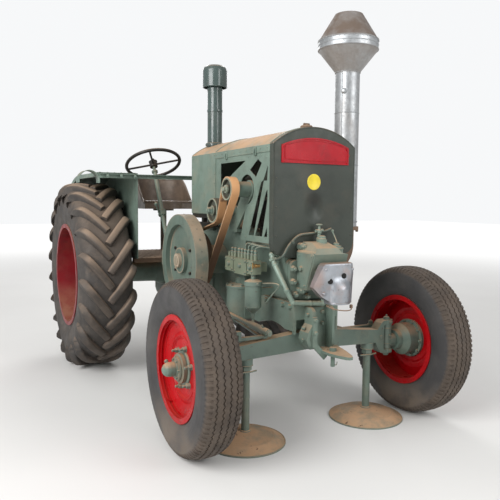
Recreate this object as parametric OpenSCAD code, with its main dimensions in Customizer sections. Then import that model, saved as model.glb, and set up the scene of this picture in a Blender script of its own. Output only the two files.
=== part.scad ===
// Farm tractor with one horizontal cylinder, its front axle held up by two stands.
// Lengths are in millimetres. X points to the tractor's left, Y to its rear, Z up.
// The origin is on the ground, under the middle of the tractor's outline.
// Places along Y are counted from the front axle, and on_tractor() moves them there.

/* [Stance] */
// Distance between the front and rear axles
wheelbase = 2020; // [1980:10:2080]
// Distance between the middles of the front tyres
front_track = 1515; // [1505:5:1560]
// Distance between the middles of the rear tyres
rear_track = 1630; // [1620:5:1700]

/* [Front wheels] */
// Front tyre, outer diameter
front_tyre_d = 928; // [916:2:940]
// Front tyre, width of the carcass
front_tyre_w = 212; // [200:2:220]
// Front rim, diameter over the flanges
front_rim_d = 562; // [550:2:580]
// Front wheel disc, how far its mounting face stands outboard of the tyre's middle
front_dish = 22; // [16:1:28]
// Front hub, diameter of the barrel outside the disc
front_hub_d = 156; // [148:2:164]

/* [Rear wheels] */
// Rear tyre, diameter out to the tips of the lugs
rear_tyre_d = 1468; // [1440:4:1480]
// Rear tyre, width of the carcass
rear_tyre_w = 404; // [390:2:410]
// Rear rim, diameter over the flanges
rear_rim_d = 812; // [800:2:830]
// Rear wheel disc, how far it sits inboard of the tyre's middle
rear_dish = 96; // [80:1:110]
// Rear tyre, lugs along each of its sides
lug_count = 21; // [19:1:23]
// Rear tyre, height of the lugs over the carcass
lug_h = 36; // [30:1:40]

/* [Front axle] */
// Axle beam, depth at its middle
beam_h = 106; // [96:1:112]
// Axle beam, depth at its ends
beam_end_h = 80; // [70:1:86]
// Axle beam, thickness from front to back
beam_t = 66; // [56:1:70]
// Axle beam, how far its top falls from the middle to the ends
beam_fall = 46; // [36:1:54]
// Axle beam, height of its top at the middle
beam_top = 592; // [586:1:596]
// Distance between the two kingpins
kingpin_span = 1150; // [1140:2:1160]
// Kingpin diameter
kingpin_d = 40; // [34:1:44]
// Wheel spindle diameter
spindle_d = 60; // [50:1:66]
// Length of the track arms, back from the kingpins
track_arm = 150; // [140:1:156]

/* [Engine] */
// Crankshaft, distance behind the front axle
crank_y = 760; // [755:1:775]
// Crankshaft, height above the ground
crank_z = 945; // [942:1:955]
// Crankshaft diameter
crank_d = 80; // [70:1:86]
// Crankcase, width over the side walls
case_w = 420; // [400:2:430]
// Crank chamber, outer diameter
chamber_d = 530; // [510:2:536]
// Water jacket of the cylinder, width
jacket_w = 340; // [320:2:350]
// Cylinder head, width
head_w = 244; // [232:2:248]
// Flywheel, diameter
flywheel_d = 600; // [580:2:606]
// Flywheel, width of the rim
flywheel_w = 82; // [78:1:100]
// Flywheel, distance of its outer face from the tractor's middle
flywheel_x = 525; // [522:1:540]
// Belt pulley on the left side, diameter
belt_pulley_d = 380; // [340:2:400]
// Belt pulley on the left side, width of its face
belt_pulley_w = 160; // [140:2:170]

/* [Fan drive] */
// Flat belt, width
belt_w = 50; // [46:1:60]
// Flat belt, thickness
belt_t = 6; // [5:0.5:7]
// Drive pulley beside the flywheel, diameter
drive_pulley_d = 360; // [340:2:366]
// Fan pulley diameter
fan_pulley_d = 132; // [124:2:140]
// Idler pulley diameter
idler_d = 152; // [140:2:156]
// Fan diameter over the blades
fan_d = 330; // [300:2:340]

/* [Bonnet] */
// Bonnet, width over the top cover
bonnet_w = 554; // [548:2:560]
// Bonnet, length from the front plate to the rear sheet
bonnet_l = 1150; // [1140:2:1160]
// Front plate, distance ahead of the front axle
bonnet_front = 25; // [20:1:30]
// Height of the shoulders where the arch begins
shoulder_z = 1648; // [1640:1:1660]
// Height of the arch over the shoulders
arch_rise = 103; // [95:1:110]
// Lower edge of the grille panels
grille_z = 1098; // [1094:1:1108]
// Lower edge of the rear panels
panel_z = 1244; // [1240:1:1256]
// Lowest edge of the front plate, above the head's neck
chin_z = 1016; // [1012:1:1030]
// Thickness of the bonnet's sheet
sheet_t = 3; // [2.5:0.5:4]
// Depth of the top cover's side lips
lip_h = 40; // [34:1:46]

/* [Stack and intake] */
// Exhaust stack, outer diameter
stack_d = 150; // [144:2:154]
// Exhaust stack, height of its mouth
stack_top = 2475; // [2450:1:2500]
// Spark arrester, diameter of its drum
arrester_d = 366; // [350:2:380]
// Intake pipe, outer diameter
intake_d = 104; // [94:2:110]
// Intake pipe, height of its cap's top
intake_top = 2287; // [2260:1:2320]

/* [Driver's place] */
// Height of the platform's floor
floor_z = 900; // [896:1:915]
// Height of the fenders' flat tops
fender_z = 1530; // [1526:1:1545]
// Fender, width over the tyre
fender_w = 424; // [414:2:430]
// Fender sheet thickness
fender_t = 4; // [3:0.5:5]
// Steering wheel diameter
steering_d = 450; // [420:2:470]
// Steering column, distance to the right of the middle
column_x = 350; // [346:1:356]
// Steering column, angle back from the vertical
column_tilt = 27.5; // [26.5:0.1:28.5]
// Steering column, length from the drop arm's shaft to the wheel
column_l = 816; // [800:2:830]
// Seat, width over the tub
seat_w = 440; // [420:2:460]
// Seat, height of the pan
seat_z = 1262; // [1245:1:1280]

/* [Stands] */
// Stand, diameter of the dished foot
stand_d = 452; // [430:2:456]
// Stand, distance of each post from the middle
stand_x = 424; // [418:1:430]

/* [Hidden] */
$fn = 64;

// Clearances: a pin in its bore, sheet beside sheet, and a belt on its pulley
fit = 0.05;
seam = 0.3;
belt_gap = 0.3;

front_r = front_tyre_d / 2;
rear_r = rear_tyre_d / 2;
// The tractor reaches from the front tyres to the rear tyres, with the origin halfway
front_y = (front_r - wheelbase - rear_r) / 2;

// Finishes
sage = [0.44, 0.53, 0.48];
dark_sage = [0.33, 0.38, 0.34];
wheel_red = [0.78, 0.05, 0.06];
dull_red = [0.45, 0.06, 0.07];
tread_tan = [0.42, 0.36, 0.31];
bare_metal = [0.70, 0.71, 0.72];
leather = [0.55, 0.36, 0.22];
dusty_brown = [0.45, 0.33, 0.27];
near_black = [0.10, 0.10, 0.10];

module on_tractor() {
    translate([0, front_y, 0]) children();
}

// Turns a section drawn as radius and distance outboard about a wheel's own axis
module outboard(side, y, z, x = 0) {
    translate([side * x, y, z])
        mirror([side < 0 ? 1 : 0, 0, 0])
            rotate([0, 90, 0])
                rotate_extrude($fn = 96) children();
}

// A side view drawn as Y and Z, made into a plate from x0 to x1
module side_plate(x0, x1) {
    translate([x0, 0, 0]) rotate([90, 0, 90]) linear_extrude(x1 - x0) children();
}

// A front view drawn as X and Z, made into a plate from y0 back to y1
module front_plate(y0, y1) {
    translate([0, y1, 0]) rotate([90, 0, 0]) linear_extrude(y1 - y0) children();
}

module bar_x(x0, x1, y, z, d) {
    translate([x0, y, z]) rotate([0, 90, 0]) cylinder(h = x1 - x0, d = d);
}

module bar_y(y0, y1, x, z, d) {
    translate([x, y0, z]) rotate([-90, 0, 0]) cylinder(h = y1 - y0, d = d);
}

// A round bar from one point to another
module bar(a, b, d) {
    v = b - a;
    translate(a)
        rotate([0, atan2(norm([v[0], v[1]]), v[2]), atan2(v[1], v[0])])
            cylinder(h = norm(v), d = d);
}

// A pipe bent through its points, with a swollen union in each bend
module pipe(points, d) {
    for (i = [0 : len(points) - 2]) bar(points[i], points[i + 1], d);
    for (i = [1 : len(points) - 2]) translate(points[i]) sphere(d = d + 4, $fn = 24);
}

function lerp(a, b, t) = a + (b - a) * t;

// Mirrors half a section, drawn as radius and offset, across its middle
function both_halves(points) = concat(points,
    [for (i = [len(points) - 1 : -1 : 0]) if (points[i][1] != 0) [points[i][0], -points[i][1]]]);

// Wheels and tyres
rim_t = 7;
disc_t = 9;
front_seat_d = front_rim_d - 44;
front_bead_w = front_tyre_w * 0.72;
front_x = front_track / 2;
hub_gap = 56.5;
front_flange_x = front_x - kingpin_span / 2 - hub_gap;
rear_seat_d = rear_rim_d - 46;
rear_bead_w = rear_tyre_w * 0.86;
rear_x = rear_track / 2;
rear_flange_x = rear_dish + 60;
rear_shaft_d = 90;

// Side of a tyre above the rim flange: share of half the width, share of the height
SIDEWALL = [[0.90, 0.14], [0.985, 0.30], [1, 0.44], [0.985, 0.62], [0.92, 0.78], [0.80, 0.90],
    [0.58, 0.965], [0.30, 0.993], [0, 1]];

module tyre_section(d, w, rim_d, seat_d, bead_w) {
    foot = rim_d / 2 + 3;
    polygon(both_halves([[seat_d / 2, bead_w / 2], [foot, bead_w / 2],
        for (row = SIDEWALL) [lerp(foot, d / 2, row[1]), row[0] * w / 2]]));
}

module front_tyre(side) {
    on_tractor() color(tread_tan) outboard(side, 0, front_r, front_x)
        tyre_section(front_tyre_d, front_tyre_w, front_rim_d, front_seat_d, front_bead_w);
}

// Lugs climb from the middle of the tread to its shoulders, at this angle to the axle
lug_angle = 52;
lug_w = 44;
lug_half = rear_tyre_w / 2 + 10;
lug_reach = (lug_half - lug_w / 2 * sin(lug_angle)) / cos(lug_angle);
carcass_r = rear_r - lug_h;
carcass_half = rear_tyre_w / 2 - 8;

// One lug seen square to its length, as distance along it and height over the axle
module lug_view() {
    polygon([[-lug_reach / 2 - 14, carcass_r - 80], [-lug_reach / 2 - 14, rear_r - 17],
        [-90, rear_r - 6], [0, rear_r - 1], [70, rear_r - 9], [128, rear_r - 42],
        [lug_reach / 2, rear_r - 100], [lug_reach / 2 - 12, rear_r - 170]]);
}

module rear_tyre(side) {
    on_tractor() color(tread_tan) {
        outboard(side, wheelbase, rear_r, rear_x)
            tyre_section(2 * carcass_r, 2 * carcass_half, rear_rim_d, rear_seat_d, rear_bead_w);
        translate([side * rear_x, wheelbase, rear_r])
            for (i = [0 : lug_count - 1], s = [-1, 1])
                rotate([(i + s / 4) * 360 / lug_count, 0, 0])
                    translate([s * lug_reach / 2 * cos(lug_angle), 0, 0])
                        rotate([0, 0, s > 0 ? lug_angle : 180 - lug_angle])
                            translate([0, lug_w / 2, 0]) rotate([90, 0, 0])
                                linear_extrude(lug_w) lug_view();
    }
}

module front_wheel(side) {
    seat = front_seat_d / 2;
    edge = front_bead_w / 2;
    face = front_dish + disc_t;
    on_tractor() color(wheel_red) difference() {
        // One outline from the domed cap, over the disc and the rim, to the flange and hub inside
        outboard(side, 0, front_r, front_x)
            polygon([[0, 152], [15, 149], [27, 141], [35, 129], [38, 114], [38, 82], [62, 78],
                [64, 66], [front_hub_d / 2, 62], [front_hub_d / 2, 46], [72, face], [150, face],
                [158, face + 8], [172, face + 8], [188, face + 2], [224, 43], [seat - rim_t, 52],
                [seat - rim_t, edge + rim_t], [front_rim_d / 2, edge + rim_t], [front_rim_d / 2, edge],
                [seat, edge], [seat, -edge], [front_rim_d / 2, -edge], [front_rim_d / 2, -edge - rim_t],
                [seat - rim_t, -edge - rim_t], [seat - rim_t, 52 - disc_t], [224, 43 - disc_t],
                [192, face + 2 - disc_t], [172, face + 6 - disc_t], [158, face + 6 - disc_t],
                [150, front_dish], [120, front_dish], [120, front_dish - 18],
                [100, front_dish - 18], [100, 58 - front_flange_x], [84, 42 - front_flange_x],
                [66, 28 - front_flange_x], [62, -front_flange_x], [0, -front_flange_x]]);
        outboard(side, 0, front_r, front_x)
            translate([0, -front_flange_x - 1]) square([spindle_d / 2 + fit, front_flange_x + 41]);
    }
}

module rear_wheel(side) {
    seat = rear_seat_d / 2;
    edge = rear_bead_w / 2;
    on_tractor() color(dull_red) difference() {
        outboard(side, wheelbase, rear_r, rear_x)
            polygon([[0, 36], [70, 30], [84, 10], [92, -rear_dish + 14], [120, -rear_dish + 10],
                [120, -rear_dish], [264, -rear_dish], [294, -64], [seat - rim_t, -40],
                [seat - rim_t, edge + rim_t], [rear_rim_d / 2, edge + rim_t], [rear_rim_d / 2, edge],
                [seat, edge], [seat, -edge], [rear_rim_d / 2, -edge], [rear_rim_d / 2, -edge - rim_t],
                [seat - rim_t, -edge - rim_t], [seat - rim_t, -40 - disc_t], [300, -64 - disc_t],
                [270, -rear_dish - disc_t], [112, -rear_dish - disc_t], [105, -rear_flange_x],
                [0, -rear_flange_x]]);
        outboard(side, wheelbase, rear_r, rear_x)
            translate([0, -rear_flange_x - 1]) square([rear_shaft_d / 2 + fit, rear_flange_x + 1]);
    }
}

module front_tyre_right() front_tyre(-1);
module front_tyre_left() front_tyre(1);
module rear_tyre_right() rear_tyre(-1);
module rear_tyre_left() rear_tyre(1);
module front_wheel_right() front_wheel(-1);
module front_wheel_left() front_wheel(1);
module rear_wheel_right() rear_wheel(-1);
module rear_wheel_left() rear_wheel(1);

// Front axle
kingpin_x = kingpin_span / 2;
beam_end_x = 500;
beam_face = beam_t / 2;
fork_x = kingpin_x - 45;
fork_low = front_r - spindle_d / 2 - 40;
fork_high = beam_top + 8;
ear_t = 24;
pivot_z = beam_top - beam_h / 2;
stand_head_d = 78;
flare_x = stand_x + stand_head_d / 2 + 3;
pivot_d = 50;
rod_y = 600;
rod_top = 573;

// Lower edge of the beam, at a distance x from its middle
function beam_low(x) = lerp(beam_top - beam_h, beam_top - beam_fall - beam_end_h, abs(x) / beam_end_x);

module axle_beam() on_tractor() color(sage) difference() {
    union() {
        front_plate(-beam_face, beam_face)
            polygon([[-beam_end_x, beam_top - beam_fall], [-60, beam_top], [60, beam_top],
                [beam_end_x, beam_top - beam_fall], [beam_end_x, beam_low(beam_end_x)], [0, beam_low(0)],
                [-beam_end_x, beam_low(beam_end_x)]]);
        for (s = [-1, 1]) {
            // Forked end, flaring up and down to the ears that hold the kingpin
            mirror([s < 0 ? 1 : 0, 0, 0]) front_plate(-beam_face, beam_face)
                polygon([[flare_x, beam_low(flare_x) + 1], [flare_x + 14, fork_low + 44], [504, fork_low + 12],
                    [524, fork_low], [kingpin_x, fork_low], [kingpin_x, fork_low + ear_t],
                    [fork_x + 8, fork_low + ear_t], [fork_x, fork_low + ear_t + 12],
                    [fork_x, fork_high - ear_t - 12], [fork_x + 8, fork_high - ear_t],
                    [kingpin_x, fork_high - ear_t], [kingpin_x, fork_high], [528, fork_high],
                    [508, fork_high - 14], [480, beam_top - beam_fall + 2]]);
            for (z = [fork_low, fork_high - ear_t]) translate([0, 0, z]) {
                translate([s * kingpin_x, 0, 0]) cylinder(h = ear_t, d = 76);
            }
            // Radius rod from the beam back to a stud under the crankcase
            bar([s * 290, beam_face - 4, 554], [s * 200, rod_y, 564], 20);
            translate([s * 200, rod_y, 552]) cylinder(h = rod_top - 552, d = 38);
        }
    }
    for (s = [-1, 1])
        translate([s * kingpin_x, 0, fork_low - 1])
            cylinder(h = fork_high - fork_low + 2, d = kingpin_d + 2 * fit);
    bar_y(-beam_face - 1, beam_face + 1, 0, pivot_z, pivot_d + 2 * fit);
}

// Steering: knuckles, track arms and the steering arm that steps down over the beam
arm_z = fork_high + 6;
arm_t = 18;
link_x = 312;
arm_low = beam_top - 20;
link_front = arm_low + 39;
link_rear = link_front + 70;
track_z = 520;
ball_d = 24;
track_t = 22;

module knuckle(side, pin_top) {
    barrel_low = fork_low + ear_t + seam;
    barrel_high = fork_high - ear_t - seam;
    translate([side * kingpin_x, 0, barrel_low]) cylinder(h = barrel_high - barrel_low, d = 66);
    translate([side * kingpin_x, 0, fork_low - 12])
        cylinder(h = pin_top - fork_low + 12, d = kingpin_d);
    // Spindle, with the shoulder that the hub turns beside
    outboard(side, 0, front_r)
        polygon([[0, kingpin_x], [42, kingpin_x], [42, front_x - front_flange_x - 4],
            [spindle_d / 2, front_x - front_flange_x - 4], [spindle_d / 2, front_x + 36],
            [0, front_x + 36]]);
    // Track arm, back to the tie rod
    translate([side * kingpin_x - 12, 0, track_z - track_t]) cube([24, track_arm, track_t]);
    translate([side * kingpin_x, track_arm, track_z - track_t]) cylinder(h = track_t, d = 44);
    translate([side * kingpin_x, track_arm, track_z - track_t]) cylinder(h = track_t + 26, d = ball_d);
}

module knuckle_right() on_tractor() color(sage) {
    knuckle(-1, arm_z + arm_t);
    translate([-kingpin_x, 0, arm_z]) cylinder(h = arm_t, d = 64);
    translate([-kingpin_x, -16, arm_z]) cube([115, 32, arm_t]);
    translate([-kingpin_x + 97, -16, arm_low]) cube([18, 32, arm_z + arm_t - arm_low]);
    translate([-kingpin_x + 97, -14, arm_low]) cube([kingpin_x - 97 - link_x, 28, 16]);
    translate([-link_x, 0, arm_low]) cylinder(h = 16, d = 42);
    translate([-link_x, 0, arm_low]) cylinder(h = link_front + 12 - arm_low, d = ball_d);
}

module knuckle_left() on_tractor() color(sage) knuckle(1, fork_high + 12);

module tie_rod() on_tractor() color(sage) difference() {
    union() {
        bar_x(-kingpin_x, kingpin_x, track_arm, track_z + 12, 22);
        for (s = [-1, 1])
            translate([s * kingpin_x, track_arm, track_z + seam]) cylinder(h = 22, d = 46);
    }
    for (s = [-1, 1])
        translate([s * kingpin_x, track_arm, track_z - 1]) cylinder(h = 30, d = ball_d + 2 * fit);
}

// Steering gear: the column's foot, the drop arm and the drag link
foot_y = 1372;
foot_z = 895;
drop_len = foot_z - link_rear;
drop_t = 16;
eye_t = 28;
drop_x = -link_x + eye_t / 2 + seam;
drop_shaft_d = 36;

module drag_link() on_tractor() color(sage) difference() {
    rise = (link_rear - link_front) / foot_y;
    union() {
        bar([-link_x, 0, link_front], [-link_x, foot_y - 18, link_rear - 18 * rise], 26);
        // Fat sleeve that holds the springs of the front ball joint
        bar([-link_x, -56, link_front - 56 * rise], [-link_x, 140, link_front + 140 * rise], 44);
        bar([-link_x, 136, link_front + 136 * rise], [-link_x, 170, link_front + 170 * rise], 36);
        bar_x(-link_x - eye_t / 2, -link_x + eye_t / 2, foot_y, link_rear, 46);
    }
    translate([-link_x, 0, arm_low]) cylinder(h = 100, d = ball_d + 2 * fit);
    translate([-link_x - 40, -60, arm_low - 4]) cube([80, 120, 20 + seam]);
}

module drop_arm() on_tractor() color(sage) {
    side_plate(drop_x, drop_x + drop_t) difference() {
        union() {
            translate([foot_y, foot_z]) circle(d = 64);
            translate([foot_y, link_rear]) circle(d = 46);
            translate([foot_y - 17, link_rear]) square([34, drop_len]);
        }
        translate([foot_y, foot_z]) circle(d = drop_shaft_d + 2 * fit);
    }
    bar_x(drop_x, drop_x + drop_t + 10, foot_y, link_rear, ball_d);
}

// Engine castings
case_front = 420;
case_rear = 1180;
case_top = 1160;
case_low = 560;
deck_z = 1140;
barrel_x = 192;
barrel_y = 516;
barrel_d = 180;
support_low = 496;
support_high = 760;
jacket_top = 1110;
jacket_front = 18;
neck_top = chin_z - 8;
head_back = -12;

module crankcase() on_tractor() color(sage) difference() {
    union() {
        side_plate(-case_w / 2, case_w / 2) {
            translate([crank_y, crank_z]) circle(d = chamber_d, $fn = 128);
            translate([case_front, support_high - 20])
                square([crank_y - case_front, deck_z - support_high + 20]);
            translate([crank_y, case_low]) square([case_rear - crank_y, case_top - case_low]);
            polygon([[case_front, 600], [case_front, support_high], [crank_y, support_high],
                [crank_y, case_low]]);
        }
        bar_x(-330, 330, crank_y, crank_z, 190);
        // Upright housing of the governor, beside the front of the crank chamber
        translate([-barrel_x, barrel_y, 0]) rotate_extrude() polygon([[0, 590], [barrel_d / 2, 590],
            [barrel_d / 2, 792], [barrel_d / 2 - 12, 806], [34, 812], [34, 838], [0, 842]]);
    }
    bar_x(-340, 340, crank_y, crank_z, crank_d + 2 * fit);
}

module rounded(w, h, r) {
    hull() for (x = [r, w - r], y = [r, h - r]) translate([x, y]) circle(r = r, $fn = 32);
}

module block_section() {
    translate([-jacket_w / 2, support_high]) rounded(jacket_w, jacket_top - support_high, 60);
    translate([-jacket_w / 2 + 40, support_high]) square([jacket_w - 80, 60]);
    translate([-130, jacket_top - 60]) square([260, 60]);
}

module cylinder_block() on_tractor() color(sage) {
    front_plate(jacket_front, case_front) block_section();
    front_plate(head_back, jacket_front)
        translate([-jacket_w / 2, support_high + 16])
            rounded(jacket_w, neck_top - support_high - 16, 40);
}

head_low = 850;
head_high = 1060;
head_front = 214;
head_crown = 1108;

module cylinder_head() on_tractor() color(sage) {
    // Bolted flange that closes the cylinder
    front_plate(head_back - 26, head_back)
        translate([-jacket_w / 2 + 4, support_high + 20])
            rounded(jacket_w - 8, neck_top - support_high - 24, 40);
    // Housing of the hot bulb, leaning forward, its top rising to the middle
    intersection() {
        side_plate(-head_w / 2, head_w / 2)
            polygon([[head_back - 20, head_low - 4], [-137, head_low - 4], [-head_front, head_high - 12],
                [-head_front + 16, head_high + 20], [-head_front + 96, head_crown],
                [head_back - 20, head_crown]]);
        front_plate(-head_front - 10, head_back - 10)
            polygon([[-head_w / 2, head_low - 10], [-head_w / 2, head_high - 6],
                [-head_w / 2 + 12, head_high + 4], [-80, head_crown], [24, head_crown],
                [58, head_high - 6], [head_w / 2 - 24, head_high - 14],
                [head_w / 2 - 14, head_low - 10]]);
    }
    // Valve seat on the crown, injector holder beside it, and two studded lugs on the flange side
    translate([-6, -110, head_crown - 20]) cylinder(h = 34, d = 56);
    translate([78, -130, head_high - 60]) cylinder(h = 68, d = 76);
    for (lug = [[-101, 1082], [-108, 836]]) bar_y(-70, head_back - 20, lug[0], lug[1], 42);
    // Bosses that hold the heat shield off the housing
    for (x = [-85, 75]) bar_y(-shield_face + shield_t + seam, -150, x, 950, 22);
}

// Cover over the hot bulb, open behind, with a spout below
shield_face = 246;
shield_t = 4;
spout_x = 9;
spout_d = 132;
spout_low = 782;

module shield_view() {
    polygon([[-152, 876], [-144, 898], [-100, 990], [-84, 1004], [88, 1002], [104, 990], [112, 945],
        [94, 766], [-56, 796], [-108, 828]]);
}

module heat_shield() on_tractor() color(bare_metal) {
    difference() {
        front_plate(-shield_face, -head_front - seam) shield_view();
        front_plate(-shield_face + shield_t, -head_front + 1) offset(delta = -shield_t) shield_view();
        for (hole = [[-8, 916], [52, 938]]) translate([hole[0], -shield_face - 1, hole[1]])
            rotate([-90, 0, 0]) cylinder(h = shield_t + 2, d = 26);
    }
    difference() {
        translate([spout_x, -shield_face + 1, 0]) rotate_extrude()
            polygon([[0, 958], [24, 952], [44, 934], [58, 904], [spout_d / 2, 860],
                [spout_d / 2, spout_low], [spout_d / 2 - shield_t, spout_low],
                [spout_d / 2 - shield_t, 858], [54, 900], [41, 930], [22, 946], [0, 952]]);
        translate([spout_x - 100, -shield_face + 1, 700]) cube([200, 100, 300]);
    }
}

ear_low = 504;
support_half = 150;
leg_low = 586;
front_wall = beam_face + 26;
cheek_front = 142;
cheek_top = 742;
pocket_top = 668;
bolster_half = 60;
arch_y = 175;
arch_top = 622;
arch_curve = 414;

module front_support() on_tractor() color(sage) {
    wall = 14;
    difference() {
        side_plate(-support_half, support_half) difference() {
            translate([-front_wall, leg_low])
                square([case_front + front_wall, support_high - leg_low]);
            translate([arch_y, arch_top - arch_curve]) circle(r = arch_curve, $fn = 180);
        }
        // Pockets beside the bolster, open to the front
        for (x = [-support_half + wall, bolster_half])
            translate([x, -front_wall - 1, leg_low - 1])
                cube([support_half - wall - bolster_half, front_wall - 9, pocket_top - leg_low]);
        translate([-support_half - 1, -beam_face - 8, leg_low - 1])
            cube([2 * support_half + 2, 2 * beam_face + 16, beam_top + 8 - leg_low + 1]);
    }
    // Bolster: a cap before and behind the beam, with the axle's pivot pin between them
    for (y = [-front_wall, beam_face + 8]) front_plate(y, y + 18)
        translate([-bolster_half, support_low])
            rounded(2 * bolster_half, support_high - support_low - 30, 40);
    bar_y(-front_wall + 4, beam_face + 22, 0, pivot_z, pivot_d);
    // Channel that carries the tow plate, its right cheek bent out at the foot
    intersection() {
        front_plate(-cheek_front, -front_wall) {
            polygon([[-80, cheek_top], [-60, cheek_top], [-60, 640], [-82, 604], [-100, 574], [-90, 548],
                [-58, 520], [-58, ear_low], [-78, ear_low], [-106, 532], [-120, 566], [-110, 606],
                [-80, 648]]);
            translate([54, ear_low]) square([16, cheek_top - ear_low]);
        }
        side_plate(-130, 100) translate([-cheek_front, ear_low])
            rounded(cheek_front, cheek_top - ear_low, 34);
    }
    front_plate(-front_wall - 12, -front_wall) translate([-72, ear_low]) square([140, 230]);
}

tow_pin_d = 24;
tow_pin_x = 24;
tow_pin_y = -192;

module tow_hitch() on_tractor() color(dusty_brown) {
    plate_z = ear_low - seam - 16;
    // Hooked strap bent down from the channel's right cheek
    front_plate(-cheek_front - 12, -cheek_front - seam)
        polygon([[-84, 694], [-56, 694], [-56, 542], [-2, 490], [18, 512], [34, 492], [8, 462],
            [-8, 448], [-84, 528]]);
    translate([0, 0, plate_z]) linear_extrude(16)
        polygon([[-24, -82], [130, -82], [110, -150], [92, -222], [58, -322], [42, -348], [18, -348],
            [2, -322], [-10, -291], [-26, -234]]);
    translate([tow_pin_x, tow_pin_y, 416]) cylinder(h = plate_z + 8 - 416, d = tow_pin_d);
    translate([tow_pin_x, tow_pin_y, plate_z + 8]) cylinder(h = 28, d = 40);
}

// Fan drive: three pulleys in one plane, the idler pressing on the belt from outside
belt_x = flywheel_x - flywheel_w - 36;
pulley_w = belt_w + 6;
pulley_x = belt_x + 3;
fan = [288, 1402];
idler = [489, 1274];
crank = [crank_y, crank_z];
fan_shaft_d = 30;
idler_shaft_d = 34;
bracket_x = 262;

// Direction square to the straight belt between two pulleys, as an angle
function strand(a, ra, b, rb, turn) = atan2(b[1] - a[1], b[0] - a[0]) + turn * acos((ra - rb) / norm(b - a));
function arc(c, r, from, to, steps) = [for (i = [0 : steps]) let (t = lerp(from, to, i / steps))
    c + r * [cos(t), sin(t)]];

// Closed path of the belt, at a distance from its inner face
function belt_path(depth) =
    let (fan_r = fan_pulley_d / 2 + belt_gap + depth,
        idler_r = -(idler_d / 2 + belt_gap + belt_t - depth),
        drive_r = drive_pulley_d / 2 + belt_gap + depth,
        front = strand(fan, fan_r, crank, drive_r, -1),
        rear = strand(fan, fan_r, idler, idler_r, 1),
        low = strand(idler, idler_r, crank, drive_r, 1))
    concat(arc(fan, fan_r, front + 360, rear, 24), arc(idler, idler_r, rear, low, 10),
        arc(crank, drive_r, low, front, 36));

module drive_belt() on_tractor() color(leather)
    side_plate(-belt_x, -belt_x + belt_w) difference() {
        polygon(belt_path(belt_t));
        polygon(belt_path(0));
    }

// Pulley with a flat rim, a web and a hub, as radius and distance outboard
module pulley_section(d, hub_d) {
    translate([d / 2 - 9, pulley_x - pulley_w]) square([9, pulley_w]);
    translate([hub_d / 2 - 4, pulley_x - pulley_w / 2 - 5]) square([d / 2 - hub_d / 2, 10]);
    translate([0, pulley_x - pulley_w]) square([hub_d / 2, pulley_w]);
}

module fan_pulley() on_tractor() color(bare_metal) {
    outboard(-1, fan[0], fan[1]) {
        pulley_section(fan_pulley_d, 52);
        translate([0, 160]) square([fan_shaft_d / 2, pulley_x - 160]);
        translate([0, 168]) square([44, 56]);
    }
    for (i = [0 : 5])
        translate([-196, fan[0], fan[1]]) rotate([i * 60, 0, 0])
            translate([0, 0, 30]) rotate([0, 0, 35])
                translate([-2, -26, 0]) cube([4, 52, fan_d / 2 - 30]);
}

module idler_pulley() on_tractor() color(bare_metal) difference() {
    outboard(-1, idler[0], idler[1]) pulley_section(idler_d, 60);
    bar_x(-belt_x - 20, -belt_x + belt_w + 20, idler[0], idler[1], idler_shaft_d + 2 * fit);
}

module fan_bracket() on_tractor() color(sage) difference() {
    union() {
        side_plate(-bracket_x, -bracket_x + 14) {
            hull() {
                translate(fan) circle(d = 110, $fn = 32);
                translate([450, deck_z + 10]) square([90, 10]);
            }
            hull() {
                translate(idler) circle(d = 70, $fn = 32);
                translate([440, deck_z + 10]) square([100, 10]);
            }
        }
        translate([-bracket_x, 440, deck_z + seam]) cube([bracket_x - 116, 100, 20 - seam]);
        bar_x(-pulley_x + pulley_w + 4, -bracket_x + 16, fan[0], fan[1], 92);
        bar_x(-pulley_x - 6, -bracket_x + 4, idler[0], idler[1], idler_shaft_d);
        bar_x(-pulley_x + pulley_w + 1, -bracket_x + 4, idler[0], idler[1], 56);
    }
    bar_x(-pulley_x, -bracket_x + 30, fan[0], fan[1], fan_shaft_d + 2 * fit);
}

module flywheel() on_tractor() color(sage) {
    outboard(-1, crank_y, crank_z) {
        // Heavy rim, thin web set back between its faces, and the hub
        translate([flywheel_d / 2 - 66, flywheel_x - flywheel_w]) square([66, flywheel_w]);
        translate([60, flywheel_x - flywheel_w + 22]) square([flywheel_d / 2 - 120, 26]);
        translate([0, flywheel_x - flywheel_w]) square([84, flywheel_w - 8]);
        translate([0, flywheel_x - 20]) square([46, 34]);
        pulley_section(drive_pulley_d, 150);
        translate([0, pulley_x - 4]) square([60, flywheel_x - flywheel_w - pulley_x + 8]);
    }
    bar_x(-flywheel_x + 10, belt_pulley_x + belt_pulley_w + 20, crank_y, crank_z, crank_d);
}

belt_pulley_x = 350;

module belt_pulley() on_tractor() color(sage) difference() {
    outboard(1, crank_y, crank_z) {
        translate([belt_pulley_d / 2 - 14, belt_pulley_x]) square([14, belt_pulley_w]);
        translate([70, belt_pulley_x + belt_pulley_w / 2 - 8]) square([belt_pulley_d / 2 - 80, 16]);
        translate([0, belt_pulley_x]) square([78, belt_pulley_w]);
    }
    bar_x(belt_pulley_x - 1, belt_pulley_x + belt_pulley_w + 1, crank_y, crank_z, crank_d + 2 * fit);
}

// Bonnet
bonnet_half = bonnet_w / 2;
bonnet_face = -bonnet_front;
pan_back = bonnet_face + 40;
bonnet_back = bonnet_face + bonnet_l;
rear_panel_y = 722;
arch_r = (bonnet_half * bonnet_half + arch_rise * arch_rise) / (2 * arch_rise);
arch_z = shoulder_z + arch_rise - arch_r;
panel_x = bonnet_half - sheet_t - seam;
intake = [-128, 1060];
filler = [14, 96];
filler_d = 60;

// Corner of the chin: distance in from the bonnet's side, height over the chin
CHIN = [[0, 100], [0, 82], [8, 46], [34, 20], [76, 6], [150, 0]];

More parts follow.
